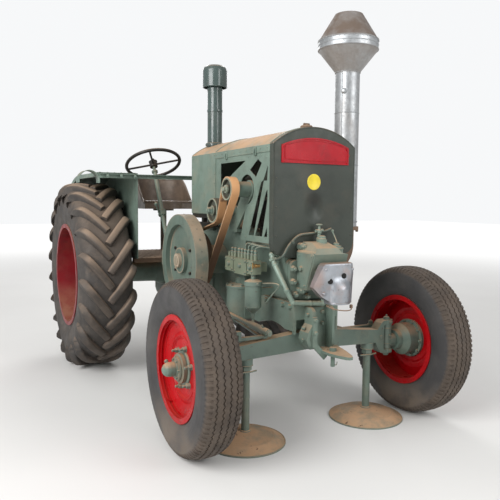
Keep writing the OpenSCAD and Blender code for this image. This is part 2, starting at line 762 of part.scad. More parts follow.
// The bonnet's front view down to a level, drawn a distance inside its skin
module arch(inset, low) {
    intersection() {
        translate([0, arch_z]) circle(r = arch_r - inset, $fn = 180);
        translate([-bonnet_half + inset, low]) square([bonnet_w - 2 * inset, 1000]);
    }
}

// Lower end of the front plate, narrowing to a round-cornered chin
module skirt_view() {
    polygon([for (s = [-1, 1], corner = s < 0 ? CHIN : [for (i = [len(CHIN) - 1 : -1 : 0]) CHIN[i]])
        [s * (bonnet_half - corner[0]), chin_z + corner[1]]]);
}

module bonnet_front() on_tractor() color(dark_sage) {
    difference() {
        front_plate(bonnet_face, pan_back) {
            arch(0, grille_z);
            skirt_view();
        }
        front_plate(bonnet_face + sheet_t, pan_back + 1) {
            arch(2 * sheet_t, grille_z - 1);
            offset(delta = -2 * sheet_t) skirt_view();
        }
    }
}

module bonnet_top() on_tractor() color(sage) difference() {
    union() {
        front_plate(pan_back, bonnet_back) arch(0, shoulder_z - lip_h);
        front_plate(rear_panel_y, bonnet_back) arch(0, panel_z);
    }
    front_plate(pan_back - 1, bonnet_back + 1) arch(sheet_t, panel_z - 1);
    translate([intake[0], intake[1], shoulder_z]) cylinder(h = 200, d = intake_d + 2 * seam);
    translate([filler[0], filler[1], shoulder_z]) cylinder(h = 200, d = filler_d + 2 * seam);
}

module bonnet_rear() on_tractor() color(sage)
    front_plate(bonnet_back - 2 * sheet_t, bonnet_back - sheet_t) arch(sheet_t + seam, panel_z - 18);

// Openings of the grille, each a list of corners as Y and Z
GRILLE = [
    [[648, 1572], [306, 1572], [489, 1496], [648, 1405]],
    [[252, 1515], [156, 1573], [110, 1548], [177, 1471]],
    [[40, 1533], [48, 1448], [92, 1448]],
    [[115, 1441], [82, 1455], [200, 1133], [262, 1133]],
    [[58, 1385], [42, 1400], [42, 1340], [100, 1133], [183, 1133]],
    [[42, 1192], [42, 1133], [77, 1133]]
];

module grille_view() {
    difference() {
        polygon([[pan_back, grille_z], [371, grille_z], [250, 1440], [400, 1452], [640, 1345],
            [830, panel_z], [bonnet_back - 2 * sheet_t, panel_z],
            [bonnet_back - 2 * sheet_t, shoulder_z - 6], [pan_back, shoulder_z - 6]]);
        for (corners = GRILLE) polygon(corners);
        translate(fan) circle(d = 176);
    }
}

module bonnet_side_right() on_tractor() color(sage)
    side_plate(-panel_x, -panel_x + sheet_t) grille_view();

module bonnet_side_left() on_tractor() color(sage)
    side_plate(panel_x - sheet_t, panel_x) grille_view();

// Core behind the fan, and the rails that the bonnet stands on
core_back = 540;
rail_h = 30;
low_rail_z = case_top + seam;
low_rail_h = 26;

module radiator() on_tractor() color(near_black) {
    difference() {
        union() {
            translate([-110, pan_back + 5, jacket_top + seam])
                cube([220, case_front - pan_back - 10, 1600 - jacket_top - seam]);
            translate([-110, case_front - 10, deck_z + 24])
                cube([220, core_back - case_front + 10, 1576 - deck_z]);
        }
        translate([filler[0], filler[1], 1590]) cylinder(h = 20, d = filler_d - 12);
    }
    translate([filler[0], filler[1], 1598]) cylinder(h = 176, d = filler_d);
    for (s = [-1, 1]) {
        translate([s > 0 ? 238 : -268, core_back, panel_z - rail_h])
            cube([30, bonnet_back - 2 * sheet_t - core_back, rail_h]);
        translate([s > 0 ? 238 : -268, crank_y, low_rail_z])
            cube([30, bonnet_back - 2 * sheet_t - crank_y, low_rail_h]);
        translate([s > 0 ? 238 : -268, 940, low_rail_z]) cube([30, 30, panel_z - low_rail_z]);
    }
    translate([-268, core_back - 2, panel_z - rail_h]) cube([536, 30, rail_h]);
    translate([-268, 940, low_rail_z]) cube([536, 30, low_rail_h]);
}

// Bare arched plate, drawn a distance inside its edge
plate_half = 226;
plate_low = 1546;
plate_h = 144;
plate_rise = 46;
plate_r = (plate_half * plate_half + plate_rise * plate_rise) / (2 * plate_rise);

module plate_view(inset) intersection() {
    translate([0, plate_low + plate_h - plate_r]) circle(r = plate_r - inset, $fn = 180);
    translate([-plate_half + inset, plate_low + inset]) square([2 * (plate_half - inset), 300]);
}

module nameplate() on_tractor() color(wheel_red) difference() {
    front_plate(bonnet_face - 8, bonnet_face) plate_view(0);
    front_plate(bonnet_face - 9, bonnet_face - 5) plate_view(7);
}

// Exhaust
stack = [368, 180];
stack_foot = 1180;
pipe_d = 118;
bend_r = 120;

module exhaust_stack() on_tractor() color(bare_metal) translate([stack[0], stack[1], 0]) {
    r = stack_d / 2;
    w = 3;
    drum = arrester_d / 2;
    mouth = r + 11;
    rotate_extrude($fn = 96) polygon([[0, stack_foot], [r, stack_foot], [r, stack_top - 348],
        [drum, stack_top - 213], [drum, stack_top - 158], [mouth, stack_top], [mouth - w, stack_top],
        [drum - 40, stack_top - 158], [r, stack_top - 225], [0, stack_top - 225]]);
}

module exhaust_pipe() on_tractor() color(dusty_brown) {
    bar_x(jacket_w / 2, stack[0] - bend_r, stack[1], crank_z, pipe_d);
    bar_x(jacket_w / 2, jacket_w / 2 + 20, stack[1], crank_z, 180);
    translate([stack[0] - bend_r, stack[1], crank_z + bend_r]) rotate([90, 0, 0])
        rotate([0, 0, -90]) rotate_extrude(angle = 90) translate([bend_r, 0]) circle(d = pipe_d);
    translate([stack[0], stack[1], crank_z + bend_r])
        cylinder(h = stack_foot - crank_z - bend_r, d = pipe_d);
    translate([stack[0], stack[1], stack_foot - 22]) cylinder(h = 22, d = stack_d + 24);
}

module intake_pipe() on_tractor() color(sage) translate([intake[0], intake[1], 0]) {
    cap_r = intake_d / 2 + 34;
    translate([0, 0, case_top]) cylinder(h = intake_top - case_top - 20, d = intake_d);
    // Cap like an upturned cup over the pipe's mouth
    rotate_extrude() polygon([[0, intake_top - 32], [cap_r - 6, intake_top - 32],
        [cap_r - 6, intake_top - 154], [cap_r, intake_top - 154], [cap_r, intake_top - 38],
        [cap_r - 7, intake_top - 18], [cap_r - 28, intake_top - 4], [0, intake_top]]);
}

// Engine fittings on the right side: pump boxes as front end, rear end and underside
PUMP_BOXES = [[122, 196, 912], [206, 366, 898], [376, 486, 906]];
lube_x = 318;

module lubricator() on_tractor() color(sage) {
    // Pump boxes side by side, each with its screws on top
    for (box = PUMP_BOXES) {
        y0 = box[0];
        span = box[1] - box[0];
        translate([-lube_x, y0, box[2]]) cube([54, span, 992 - box[2]]);
        for (y = [y0 + 18 : 40 : box[1] - 12])
            translate([-lube_x + 26, y, 992]) cylinder(h = 30, d = 22);
    }
    translate([-lube_x + 44, 150, 924]) cube([lube_x - 44 - case_w / 2 - seam, 316, 52]);
    translate([-case_w / 2 - 2, 262, 934]) cube([case_w / 2 + 2 - jacket_w / 2 - seam, 130, 30]);
}

module fuel_filter() on_tractor() color(sage) {
    translate([-300, 150, 0]) rotate_extrude() polygon([[0, 652], [9, 654], [11, 684], [24, 698], [44, 716],
        [48, 726], [48, 846], [52, 850], [52, 872], [30, 882], [14, 884], [14, 900], [0, 902]]);
    translate([-256, 136, 790]) cube([256 - jacket_w / 2 - seam, 28, 40]);
}

module pipes() on_tractor() color(bare_metal) {
    pipe([[-jacket_w / 2 - seam, 62, 1030], [-230, 62, 1030], [-228, 30, 975], [-204, -62, 840],
        [-172, -78, 772], [-60, -84, 762], [22, -92, 758], [22, -100, 846 - seam]], 29);
}

// Driver's place
fender_x = rear_x - lug_half - 9;
fender_front = 1400;
fender_low = floor_z;
fender_r = fender_z - rear_r;
fender_lip = 30;
hood_r = 74;
hood_z = fender_z + 12 - hood_r;
hood_l = 100;
bearer_h = 34;
floor_t = 6;
box_top = floor_z - floor_t - bearer_h;
floor_front = fender_front + 60;
floor_l = 720;

// A fender's side view, drawn a distance inside its top
module fender_view(inset, open) {
    intersection() {
        union() {
            translate([fender_front - open, fender_low - open])
                square([wheelbase - fender_front + open, fender_z - inset - fender_low + open]);
            translate([wheelbase, rear_r]) circle(r = fender_r - inset, $fn = 128);
        }
        polygon([[fender_front - open, fender_low - open], [fender_front - open, fender_z + 10],
            [wheelbase + 900, fender_z + 10], [wheelbase + 900, rear_r + 560 - open],
            [wheelbase + 240, fender_low - open]]);
    }
}

// Flat deck with a lip along its outer edge, and a short round hood beyond it at the front
module fender(side) on_tractor() color(sage) mirror([side < 0 ? 1 : 0, 0, 0]) {
    x0 = fender_x - fender_t;
    deck_out = x0 + fender_w - 2 * hood_r + 14;
    difference() {
        side_plate(x0, deck_out) fender_view(0, 0);
        side_plate(x0 + fender_t, deck_out - fender_t) fender_view(fender_t, 40);
        side_plate(deck_out - fender_t - 1, deck_out + 1) fender_view(fender_lip, 40);
    }
    front_plate(fender_front, fender_front + hood_l) difference() {
        translate([x0 + fender_w - hood_r, hood_z]) circle(r = hood_r, $fn = 96);
        translate([x0 + fender_w - hood_r, hood_z]) circle(r = hood_r - fender_t, $fn = 96);
        translate([x0, hood_z - 2 * hood_r - 14]) square([fender_w + 1, 2 * hood_r]);
    }
}

module fender_right() fender(-1);
module fender_left() fender(1);

module cross_rail() on_tractor() color(sage) {
    half = 874;
    difference() {
        translate([-half, fender_front - 34, fender_z - 40]) cube([2 * half, 34, 30]);
        translate([-half - 1, fender_front - 35, fender_z - 41]) cube([2 * half + 2, 30, 26]);
    }
}

module platform() on_tractor() color(dusty_brown) {
    half = fender_x - fender_t;
    translate([-half, floor_front, floor_z - floor_t]) cube([2 * half, floor_l, floor_t]);
    for (y = [floor_front + 40, floor_front + floor_l - 80])
        translate([-half, y, box_top + seam]) cube([2 * half, 50, bearer_h - seam]);
}

// Tub of the seat seen from above, drawn a distance inside its edge
seat_x = -130;
seat_back = 2380;
seat_h = 262;
seat_wall = 5;
seat_post_y = seat_back - 250;

module tub_view(inset) {
    translate([0, seat_back - seat_w / 2]) circle(r = seat_w / 2 - inset);
    translate([-seat_w / 2 + inset, seat_back - seat_w / 2 - 190 + inset])
        square([seat_w - 2 * inset, 190]);
}

module seat() on_tractor() color(dusty_brown) translate([seat_x, 0, 0]) {
    difference() {
        translate([0, 0, seat_z]) linear_extrude(seat_h) tub_view(0);
        translate([0, 0, seat_z + seat_wall]) linear_extrude(seat_h) tub_view(seat_wall);
        side_plate(-seat_w / 2 - 1, seat_w / 2 + 1)
            polygon([[seat_back - 500, seat_z + 60], [seat_back - 360, seat_z + 60],
                [seat_back - 150, seat_z + seat_h + 2], [seat_back - 500, seat_z + seat_h + 2]]);
    }
    translate([0, seat_post_y, floor_z]) cylinder(h = seat_z - floor_z, d = 54);
    translate([0, seat_post_y, seat_z - 16]) cylinder(h = 16, d = 180);
}

module at_column() {
    translate([-column_x, foot_y, foot_z]) rotate([-column_tilt, 0, 0]) children();
}

module steering_column() on_tractor() color(sage) {
    translate([-column_x - 46, foot_y - 60, foot_z - 45])
        cube([drop_x - seam + column_x + 46, 120, 110]);
    bar_x(-column_x, drop_x + drop_t + 4, foot_y, foot_z, drop_shaft_d);
    translate([-column_x - 46, foot_y - 50, foot_z + 45]) cube([column_x + 46 - 120, 100, 20]);
    translate([-174, foot_y - 50, box_top]) cube([54, 100, foot_z + 45 - box_top]);
    at_column() {
        translate([0, 0, 50]) cylinder(h = column_l - 110, d = 32);
        translate([0, 0, 362]) cylinder(h = 46, d = 60);
        translate([0, 0, column_l - 62]) cylinder(h = 84, d = 22);
    }
}

module steering_wheel() on_tractor() color(near_black) at_column() translate([0, 0, column_l]) difference() {
    union() {
        rotate_extrude($fn = 96) translate([steering_d / 2 - 13, 8]) circle(d = 26, $fn = 32);
        cylinder(h = 44, d = 62, center = true);
        for (i = [0 : 3]) rotate([0, 90, i * 90 + 65]) cylinder(h = steering_d / 2 - 12, d = 16);
    }
    cylinder(h = 60, d = 22 + 2 * fit, center = true);
}

lever_x = 60;
lever_y = 1410;

module controls() on_tractor() color(near_black) {
    for (x = [-210, 190]) {
        translate([x - 14, 1486, floor_z]) cube([28, 40, 10]);
        bar([x, 1504, floor_z + 9], [x, 1476, floor_z + 110], 16);
        translate([x - 40, 1462, floor_z + 100]) rotate([30, 0, 0]) cube([80, 60, 8]);
    }
    // Gear lever, standing on the gearbox ahead of the floor
    translate([lever_x, lever_y, box_top + seam]) cylinder(h = 30, d = 60);
    bar([lever_x, lever_y, box_top + 20], [lever_x, lever_y + 150, 1290], 18);
    translate([lever_x, lever_y + 150, 1290]) sphere(d = 38, $fn = 32);
}

// Rear axle and drawbar
housing_low = 520;
drawbar_z = 404;
drawbar_t = 30;
drawbar_eye = wheelbase + 540;

module rear_axle_housing() on_tractor() color(sage) {
    box_rear = wheelbase + 150;
    drum_out = rear_x - rear_flange_x - 59;
    side_plate(-174, 174)
        polygon([[case_rear, 540], [case_rear, box_top], [box_rear, box_top], [box_rear + 60, 800],
            [box_rear + 60, 560], [box_rear + 20, housing_low], [case_rear + 80, housing_low]]);
    for (s = [-1, 1]) outboard(s, wheelbase, rear_r)
        polygon([[0, 170], [118, 170], [118, 200], [92, 260], [84, drum_out - 80], [140, drum_out - 76],
            [140, drum_out], [rear_shaft_d / 2, drum_out], [rear_shaft_d / 2, rear_x - 4], [0, rear_x - 4]]);
}

module drawbar() on_tractor() color(dusty_brown) difference() {
    union() {
        translate([-45, wheelbase - 70, drawbar_z]) cube([90, drawbar_eye - wheelbase + 70, drawbar_t]);
        translate([0, drawbar_eye, drawbar_z]) cylinder(h = drawbar_t, d = 90);
        for (y = [wheelbase - 60, wheelbase + 130])
            translate([-45, y, drawbar_z + drawbar_t])
                cube([90, 30, housing_low - seam - drawbar_z - drawbar_t]);
    }
    translate([0, drawbar_eye, drawbar_z - 1]) cylinder(h = drawbar_t + 2, d = 32);
}

// Stands: a dished foot, a post, and a head cut to the slope of the beam
module axle_stands() on_tractor() color(dusty_brown) for (s = [-1, 1]) difference() {
    translate([s * stand_x, 0, 0]) {
        rotate_extrude($fn = 96) polygon([[0, 62], [60, 58], [stand_d / 2 - 60, 36], [stand_d / 2, 6],
            [stand_d / 2, 0], [stand_d / 2 - 8, 0], [stand_d / 2 - 66, 28], [60, 50], [0, 54]]);
        translate([0, 0, 50]) cylinder(h = 480, d = 46);
        translate([0, 0, 430]) cylinder(h = 80, d = stand_head_d);
    }
    front_plate(-60, 60) polygon([[-beam_end_x - 40, beam_low(beam_end_x + 40)], [0, beam_low(0)],
        [beam_end_x + 40, beam_low(beam_end_x + 40)], [beam_end_x + 40, 700], [-beam_end_x - 40, 700]]);
}

crankcase();
cylinder_block();
cylinder_head();
heat_shield();
front_support();
tow_hitch();
axle_beam();
knuckle_right();
knuckle_left();
tie_rod();
drag_link();
drop_arm();
front_wheel_right();
front_wheel_left();
front_tyre_right();
front_tyre_left();
rear_wheel_right();
rear_wheel_left();
rear_tyre_right();
rear_tyre_left();
rear_axle_housing();
drawbar();
radiator();
bonnet_front();
bonnet_side_right();
bonnet_side_left();
bonnet_top();
bonnet_rear();
nameplate();
exhaust_stack();
exhaust_pipe();
intake_pipe();
fan_bracket();
fan_pulley();
idler_pulley();
drive_belt();
flywheel();
belt_pulley();
lubricator();
fuel_filter();
pipes();
fender_right();
fender_left();
cross_rail();
platform();
seat();
steering_column();
steering_wheel();
controls();
axle_stands();
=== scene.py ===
import math

import bmesh
import bpy
from mathutils import Matrix, Vector


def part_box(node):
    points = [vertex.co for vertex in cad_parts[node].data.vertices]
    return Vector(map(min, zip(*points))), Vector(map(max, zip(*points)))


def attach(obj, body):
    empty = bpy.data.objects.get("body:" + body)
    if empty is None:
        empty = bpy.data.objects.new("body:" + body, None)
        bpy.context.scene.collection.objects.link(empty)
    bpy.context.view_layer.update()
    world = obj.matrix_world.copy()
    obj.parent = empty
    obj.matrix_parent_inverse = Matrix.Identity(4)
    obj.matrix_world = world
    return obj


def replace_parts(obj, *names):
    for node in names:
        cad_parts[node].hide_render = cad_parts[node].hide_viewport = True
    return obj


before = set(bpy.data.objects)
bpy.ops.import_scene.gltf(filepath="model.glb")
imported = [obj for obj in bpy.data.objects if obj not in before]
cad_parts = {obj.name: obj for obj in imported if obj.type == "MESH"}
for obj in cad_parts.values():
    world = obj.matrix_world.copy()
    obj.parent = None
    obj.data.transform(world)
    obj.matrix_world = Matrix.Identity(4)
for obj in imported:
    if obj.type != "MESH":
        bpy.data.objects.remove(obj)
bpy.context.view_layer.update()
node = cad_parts

# Camera: it stands ahead of the tractor and to its right, at a grown
# person's height, and looks a little down.
YAW, PITCH, ROLL = math.radians(28.22), math.radians(-4.715), math.radians(0.49)
EYE, LENS, SENSOR = (-1.914, -3.9597, 1.331), 42.38, 36
sight = Vector((math.sin(YAW) * math.cos(PITCH), math.cos(YAW) * math.cos(PITCH), math.sin(PITCH)))
level = Vector((math.cos(YAW), -math.sin(YAW), 0))
right = math.cos(ROLL) * level + math.sin(ROLL) * level.cross(sight)
camera = bpy.data.objects.new("camera", bpy.data.cameras.new("camera"))
camera.data.lens = LENS
camera.data.sensor_width = SENSOR
turn = Matrix((right, right.cross(sight), -sight)).transposed()
camera.matrix_world = Matrix.Translation(EYE) @ turn.to_4x4()
bpy.context.scene.collection.objects.link(camera)
bpy.context.scene.camera = camera


# Engine castings: crankcase, cylinder and hot-bulb housing. Sand-cast grey
# iron, machined only where they bolt together, and brushed over with thick
# sage green enamel. Long studs with hexagon nuts hold the housing.
class Socket:
    """One output of a material's nodes, and the sums that it takes part in."""

    def __init__(self, tree, link=None):
        self.tree = tree
        self.link = link

    def add(self, kind, settings=None, inputs=None, out=0):
        """One output of a new node."""
        made = self.tree.nodes.new(kind)
        for name, value in (settings or {}).items():
            setattr(made, name, value)
        for name, value in (inputs or {}).items():
            if isinstance(value, Socket):
                self.tree.links.new(value.link, made.inputs[name])
            else:
                made.inputs[name].default_value = value
        return Socket(self.tree, made.outputs[out])

    def maths(self, operation, *others):
        return self.add("ShaderNodeMath", {"operation": operation}, dict(enumerate((self, *others))))

    def __add__(self, other):
        return self.maths("ADD", other)

    def __sub__(self, other):
        return self.maths("SUBTRACT", other)

    def __rsub__(self, other):
        return self.maths("MULTIPLY_ADD", -1, other)

    def __mul__(self, other):
        return self.maths("MULTIPLY", other)

    __radd__ = __add__
    __rmul__ = __mul__

    def ease(self, low, high, start=0.0, end=1.0):
        """Goes smoothly from start, where this is low, to end, where it is high."""
        return self.add("ShaderNodeMapRange", {"interpolation_type": "SMOOTHSTEP"},
                        {"Value": self, "From Min": low, "From Max": high, "To Min": start, "To Max": end})

    def mix(self, first, second):
        """A colour between two others."""
        first, second = (c if isinstance(c, Socket) else (*c, 1) for c in (first, second))
        return self.add("ShaderNodeMix", {"data_type": "RGBA"}, {0: self, 6: first, 7: second}, out=2)

    def place(self, centre=(0, 0, 0), stretch=(1, 1, 1)):
        """Distance from a centre in the piece's own coordinates, stretched."""
        spot = self.add("ShaderNodeTexCoord", out=3)
        if any(centre):
            spot = self.add("ShaderNodeVectorMath", {"operation": "SUBTRACT"}, {0: spot, 1: centre})
        if stretch != (1, 1, 1):
            spot = self.add("ShaderNodeVectorMath", {"operation": "MULTIPLY"}, {0: spot, 1: stretch})
        return spot

    def along(self, axis):
        """One coordinate of a place or direction."""
        return self.add("ShaderNodeSeparateXYZ", {}, {0: self}, out="XYZ".index(axis))

    def length(self):
        return self.add("ShaderNodeVectorMath", {"operation": "LENGTH"}, {0: self}, out=1)

    def noise(self, scale, detail=3, rough=0.55, stretch=(1, 1, 1)):
        """Cloudy noise in the piece's own coordinates, from 0 to 1."""
        return self.add("ShaderNodeTexNoise", {}, {
            "Vector": self.place(stretch=stretch), "Scale": scale, "Detail": detail, "Roughness": rough})

    def patchy(self, scale, detail=3, start=0.0, end=1.0, rough=0.55):
        """Soft patches of noise, from one value to another."""
        return self.noise(scale, detail, rough).ease(0.3, 0.7, start, end)

    def facing_up(self):
        return self.add("ShaderNodeNewGeometry", out=1).along("Z")

    def bump(self, strength, distance):
        return self.add("ShaderNodeBump", {}, {"Height": self, "Strength": strength, "Distance": distance})


def finish(name, paint):
    """A material, from a function that gives its shader inputs."""
    material = bpy.data.materials.new(name)
    material.use_nodes = True
    tree = material.node_tree
    shader = tree.nodes["Principled BSDF"]
    for key, value in paint(Socket(tree)).items():
        if isinstance(value, Socket):
            tree.links.new(value.link, shader.inputs[key])
        else:
            shader.inputs[key].default_value = (*value, 1) if isinstance(value, tuple) else value
    return material


def scaled(colour, factor):
    return tuple(min(1.0, c * factor) for c in colour)


SAGE = (0.150, 0.205, 0.168)
DUST = (0.50, 0.315, 0.185)
PRIMER = (0.10, 0.055, 0.035)


def enamel(colour, dust=0.6, wear=0.5, rough=0.45, grain=0.0006, shine=0.4):
    """Aged enamel: cloudy tone, tan dust on what faces up, grime, chips to the primer."""
    def paint(s):
        tone = s.noise(3.0, 4).ease(0.32, 0.68).mix(scaled(colour, 0.86), scaled(colour, 1.10))
        grime = s.noise(9, 5, 0.65).ease(0.50, 0.74) * 0.5
        tone = (grime * 0.6).mix(tone, (0.02, 0.022, 0.018))
        settled = s.facing_up().ease(0.20, 0.95) * (s.noise(7, 5, 0.7).ease(0.28, 0.60) * 0.6 + 0.4)
        film = s.noise(5, 4, 0.6).ease(0.45, 0.75) * 0.16 * dust
        tone = (settled * dust + film).mix(tone, DUST)
        chips = s.noise(30, 7, 0.7).ease(0.640, 0.665) * wear
        tone = chips.mix(tone, PRIMER)
        matt = s.patchy(16, 3, rough - 0.08, rough + 0.12)
        matt = matt + settled * 0.35 * dust + chips * 0.2
        height = s.noise(46, 4) * 0.35 + s.noise(170, 2) * 0.5 - chips * 0.8
        return {"Base Color": tone, "Roughness": matt, "Normal": height.bump(0.45, grain),
                "Specular IOR Level": shine}
    return paint


def dress(material, *names):
    """Gives CAD nodes their material."""
    for name in names:
        node[name].data.materials.clear()
        node[name].data.materials.append(material)


def painted(name, colour, *names, **look):
    """An enamel's material, put on the CAD nodes that are named."""
    material = finish(name, enamel(colour, **look))
    dress(material, *names)
    return material


cast_sage = painted("sage_enamel_on_castings", SAGE, "crankcase", "cylinder_block", "cylinder_head",
                    dust=0.8, wear=0.55, rough=0.50, grain=0.0016)

wheel_low, wheel_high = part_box("front_wheel_right")
axle_y = (wheel_low.y + wheel_high.y) / 2


def metres(point):
    """A point from millimetres over the ground below the front axle."""
    return Vector(point) / 1000 + Vector((0, axle_y, 0))


class Shape:
    """Points and faces gathered from turned, swept and prismatic parts, in millimetres."""

    def __init__(self):
        self.points = []
        self.faces = []

    def skin(self, rings, closed=True, caps=False, loop=False):
        """Faces between rings of points, and over the end rings where caps is true."""
        start = len(self.points)
        count = len(rings[0])
        for ring in rings:
            self.points.extend(Vector(p) for p in ring)
        for i in range(len(rings) if loop else len(rings) - 1):
            for j in range(count if closed else count - 1):
                a, b = start + i * count, start + (i + 1) % len(rings) * count
                self.faces.append((a + j, a + (j + 1) % count, b + (j + 1) % count, b + j))
        if caps:
            self.faces.append(tuple(range(start + count - 1, start - 1, -1)))
            last = start + (len(rings) - 1) * count
            self.faces.append(tuple(range(last, last + count)))

    def turned(self, place, axis, profile, sides=32, phase=0.0, hollow=False):
        """Profile of radius and distance along the axis, turned about it."""
        axis = Vector(axis).normalized()
        across = axis.orthogonal().normalized()
        up = axis.cross(across)
        rings = []
        for k in range(sides):
            angle = phase + 2 * math.pi * k / sides
            out = math.cos(angle) * across + math.sin(angle) * up
            rings.append([Vector(place) + axis * along + radius * out for radius, along in profile])
        if hollow:
            self.skin(rings, loop=True)
        else:
            self.skin([list(ring) for ring in zip(*rings)], caps=True)

    def bead(self, place, axis, radius, thick, sides=96):
        """Round ring of bar about an axis."""
        section = [(radius + thick * math.cos(a), thick * math.sin(a))
                   for a in (2 * math.pi * k / 10 for k in range(10))]
        self.turned(place, axis, section, sides, hollow=True)

    def bolt(self, place, axis, size, height=None, stud=0.0, phase=0.3):
        """Hexagon head or nut on a washer, with the end of its stud if it has one."""
        height = height or size * 0.62
        radius = size / 2 / math.cos(math.pi / 6)
        lift = size * 0.12
        self.turned(place, axis, [(size * 0.66, -0.6), (size * 0.66, lift * 0.7), (size * 0.60, lift)], 20)
        self.turned(place, axis, [(radius, lift - 0.5), (radius, lift + height * 0.84),
                                  (radius * 0.86, lift + height)], 6, phase)
        if stud:
            end = lift + height + stud
            self.turned(place, axis, [(size * 0.29, end - stud - 1), (size * 0.29, end - 2),
                                      (size * 0.2, end)], 14)

    def tube(self, route, radius, sides=12, steps=6):
        """Round bar or pipe along a smooth curve through the route's points."""
        route = [Vector(p) for p in route]
        ends = [route[0] * 2 - route[1]] + route + [route[-1] * 2 - route[-2]]
        line = []
        for a, b, c, d in zip(ends, ends[1:], ends[2:], ends[3:]):
            for t in (k / steps for k in range(steps)):
                line.append(0.5 * (2 * b + (c - a) * t + (2 * a - 5 * b + 4 * c - d) * t * t
                                   + (3 * b - a - 3 * c + d) * t ** 3))
        line.append(route[-1])
        normal = (line[1] - line[0]).orthogonal().normalized()
        rings = []
        for i, here in enumerate(line):
            tangent = (line[min(i + 1, len(line) - 1)] - line[max(i - 1, 0)]).normalized()
            normal = (normal - tangent * normal.dot(tangent)).normalized()
            side = tangent.cross(normal)
            turns = [2 * math.pi * k / sides for k in range(sides)]
            rings.append([here + radius * (math.cos(t) * normal + math.sin(t) * side) for t in turns])
        self.skin(rings, caps=True)

    def plate(self, outline, back, out, bevel=1.0):
        """Flat plate from an outline of points, standing out from a surface by a vector."""
        out = Vector(out)
        middle = sum((Vector(p) for p in outline), Vector()) / len(outline)
        foot = [Vector(p) + Vector(back) for p in outline]
        rim = [p + out - out.normalized() * bevel for p in foot]
        face = [p + out + (middle - Vector(q)).normalized() * bevel for p, q in zip(foot, outline)]
        self.skin([foot, rim, face], caps=True)

    def made(self, name, material, slot, body="tractor", origin=(0, 0, 0), angle=35):
        """The finished piece, riding on a body."""
        mesh = bpy.data.meshes.new(name)
        mesh.from_pydata([tuple((p - Vector(origin)) / 1000) for p in self.points], [], self.faces)
        mesh.validate()
        work = bmesh.new()
        work.from_mesh(mesh)
        bmesh.ops.recalc_face_normals(work, faces=work.faces)
        work.to_mesh(mesh)
        work.free()
        mesh.shade_smooth()
        mesh.set_sharp_from_angle(angle=math.radians(angle))
        mesh.materials.append(material)
        piece = bpy.data.objects.new(name, mesh)
        piece.location = metres(origin)
        bpy.context.scene.collection.objects.link(piece)
        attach(piece, body)
        return piece


def circle(count, radius, start=0.0):
    """Pairs of offsets spaced evenly round a circle, from an angle in degrees."""
    turns = [math.radians(start + 360 * k / count) for k in range(count)]
    return [(radius * math.cos(turn), radius * math.sin(turn)) for turn in turns]


def flank(x, front, rear, low, high):
    """Corners of an upright rectangle that faces sideways."""
    return [(x, front, low), (x, rear, low), (x, rear, high), (x, front, high)]


FLANGE_Y, HOUSING_X, CROWN_Z, CASE_X = -38, 122, 1108, 210
BARREL = (-192, 516)
OUT, LEFT, UP, DOWN, AHEAD, BEHIND = (-1, 0, 0), (1, 0, 0), (0, 0, 1), (0, 0, -1), (0, -1, 0), (0, 1, 0)
SIDES = ((-1, "right"), (1, "left"))
nuts = Shape()
for x, z in [(140, 812), (152, 884), (152, 958), (60, 797)]:
    for side in (-1, 1):
        nuts.bolt((side * x, FLANGE_Y, z), AHEAD, 32, 22, stud=14, phase=side * x)
for x, z in [(-101, 1082), (-108, 836)]:
    nuts.bolt((x, -70, z), AHEAD, 28, 17, stud=6)
nuts.bolt((-HOUSING_X - 5, -92, 962), OUT, 26, 12)
nuts.bolt((HOUSING_X - 16, -92, 962), LEFT, 26, 12)
for y, z in [(-58, 868), (-122, 868), (-66, 1036), (-188, 1036)]:
    nuts.bolt((-HOUSING_X - 5, y, z), OUT, 11, 5)
for side in (-1, 1):
    for y in (790, 880, 1130):
        nuts.bolt((side * CASE_X, y, 1142), (side, 0, 0), 20)
    for y in (900, 1010, 1120):
        for z in (620, 800):
            nuts.bolt((side * (CASE_X + 10), y, z), (side, 0, 0), 18)
for y, z in [(40, 800), (40, 1050), (400, 800), (400, 1050)]:
    nuts.bolt((170, y, z), LEFT, 24)
nuts.made("engine_nuts", cast_sage, "sage_paint")

cover = Shape()
outline = [(-44, 856), (-136, 856), (-204, 1042), (-196, 1052), (-44, 1052)]
cover.plate([(-HOUSING_X, y, z) for y, z in outline], (2, 0, 0), (-7, 0, 0), 2.5)
for side in (-1, 1):
    cover.plate(flank(side * CASE_X, 880, 1140, 598, 822), (-side, 0, 0), (side * 11, 0, 0), 4)
cover.turned((*BARREL, 836), UP, [(30, 0), (30, 12), (18, 14), (18, 30), (12, 34)], 24)
cover.turned((*BARREL, 784), UP, [(97, 0), (97, 14), (94, 17), (80, 17)], 48)
for x, y in circle(8, 88, 22):
    cover.bolt((BARREL[0] + x, BARREL[1] + y, 801), UP, 14)
cover.made("engine_covers", cast_sage, "sage_paint")

# Valve on the crown, the bar that bends across the front of the bonnet, and
# the injector's screws. Steel and brass, painted over with the engine.
INJECTOR = (78, -130)
crown = Shape()
crown.turned((-6, -110, CROWN_Z + 13), UP, [(24, 0), (24, 6), (20, 9), (20, 20), (12, 24)], 24)
crown.turned((4, -66, CROWN_Z - 2), UP, [(15, 0), (15, 22), (10, 26), (10, 46), (14, 50), (14, 66),
                                         (8, 70), (6, 92), (17, 94), (19, 98), (17, 102)], 20)
crown.tube([(-20, -66, 1168), (4, -66, 1170), (30, -64, 1172)], 9)
crown.turned((*INJECTOR, 1067), UP, [(41, 0), (41, 7), (30, 9), (28, 20), (16, 22), (16, 34), (9, 37)], 28)
for x, y in circle(4, 33, 45):
    crown.bolt((INJECTOR[0] + x, INJECTOR[1] + y, 1073), UP, 9)
crown.tube([(96, -60, 1170), (104, -74, 1140), (98, -104, 1108), (86, -126, 1090)], 4)
crown.bolt((100, -60, 1168), AHEAD, 12)
crown.made("crown_fittings", cast_sage, "sage_paint")

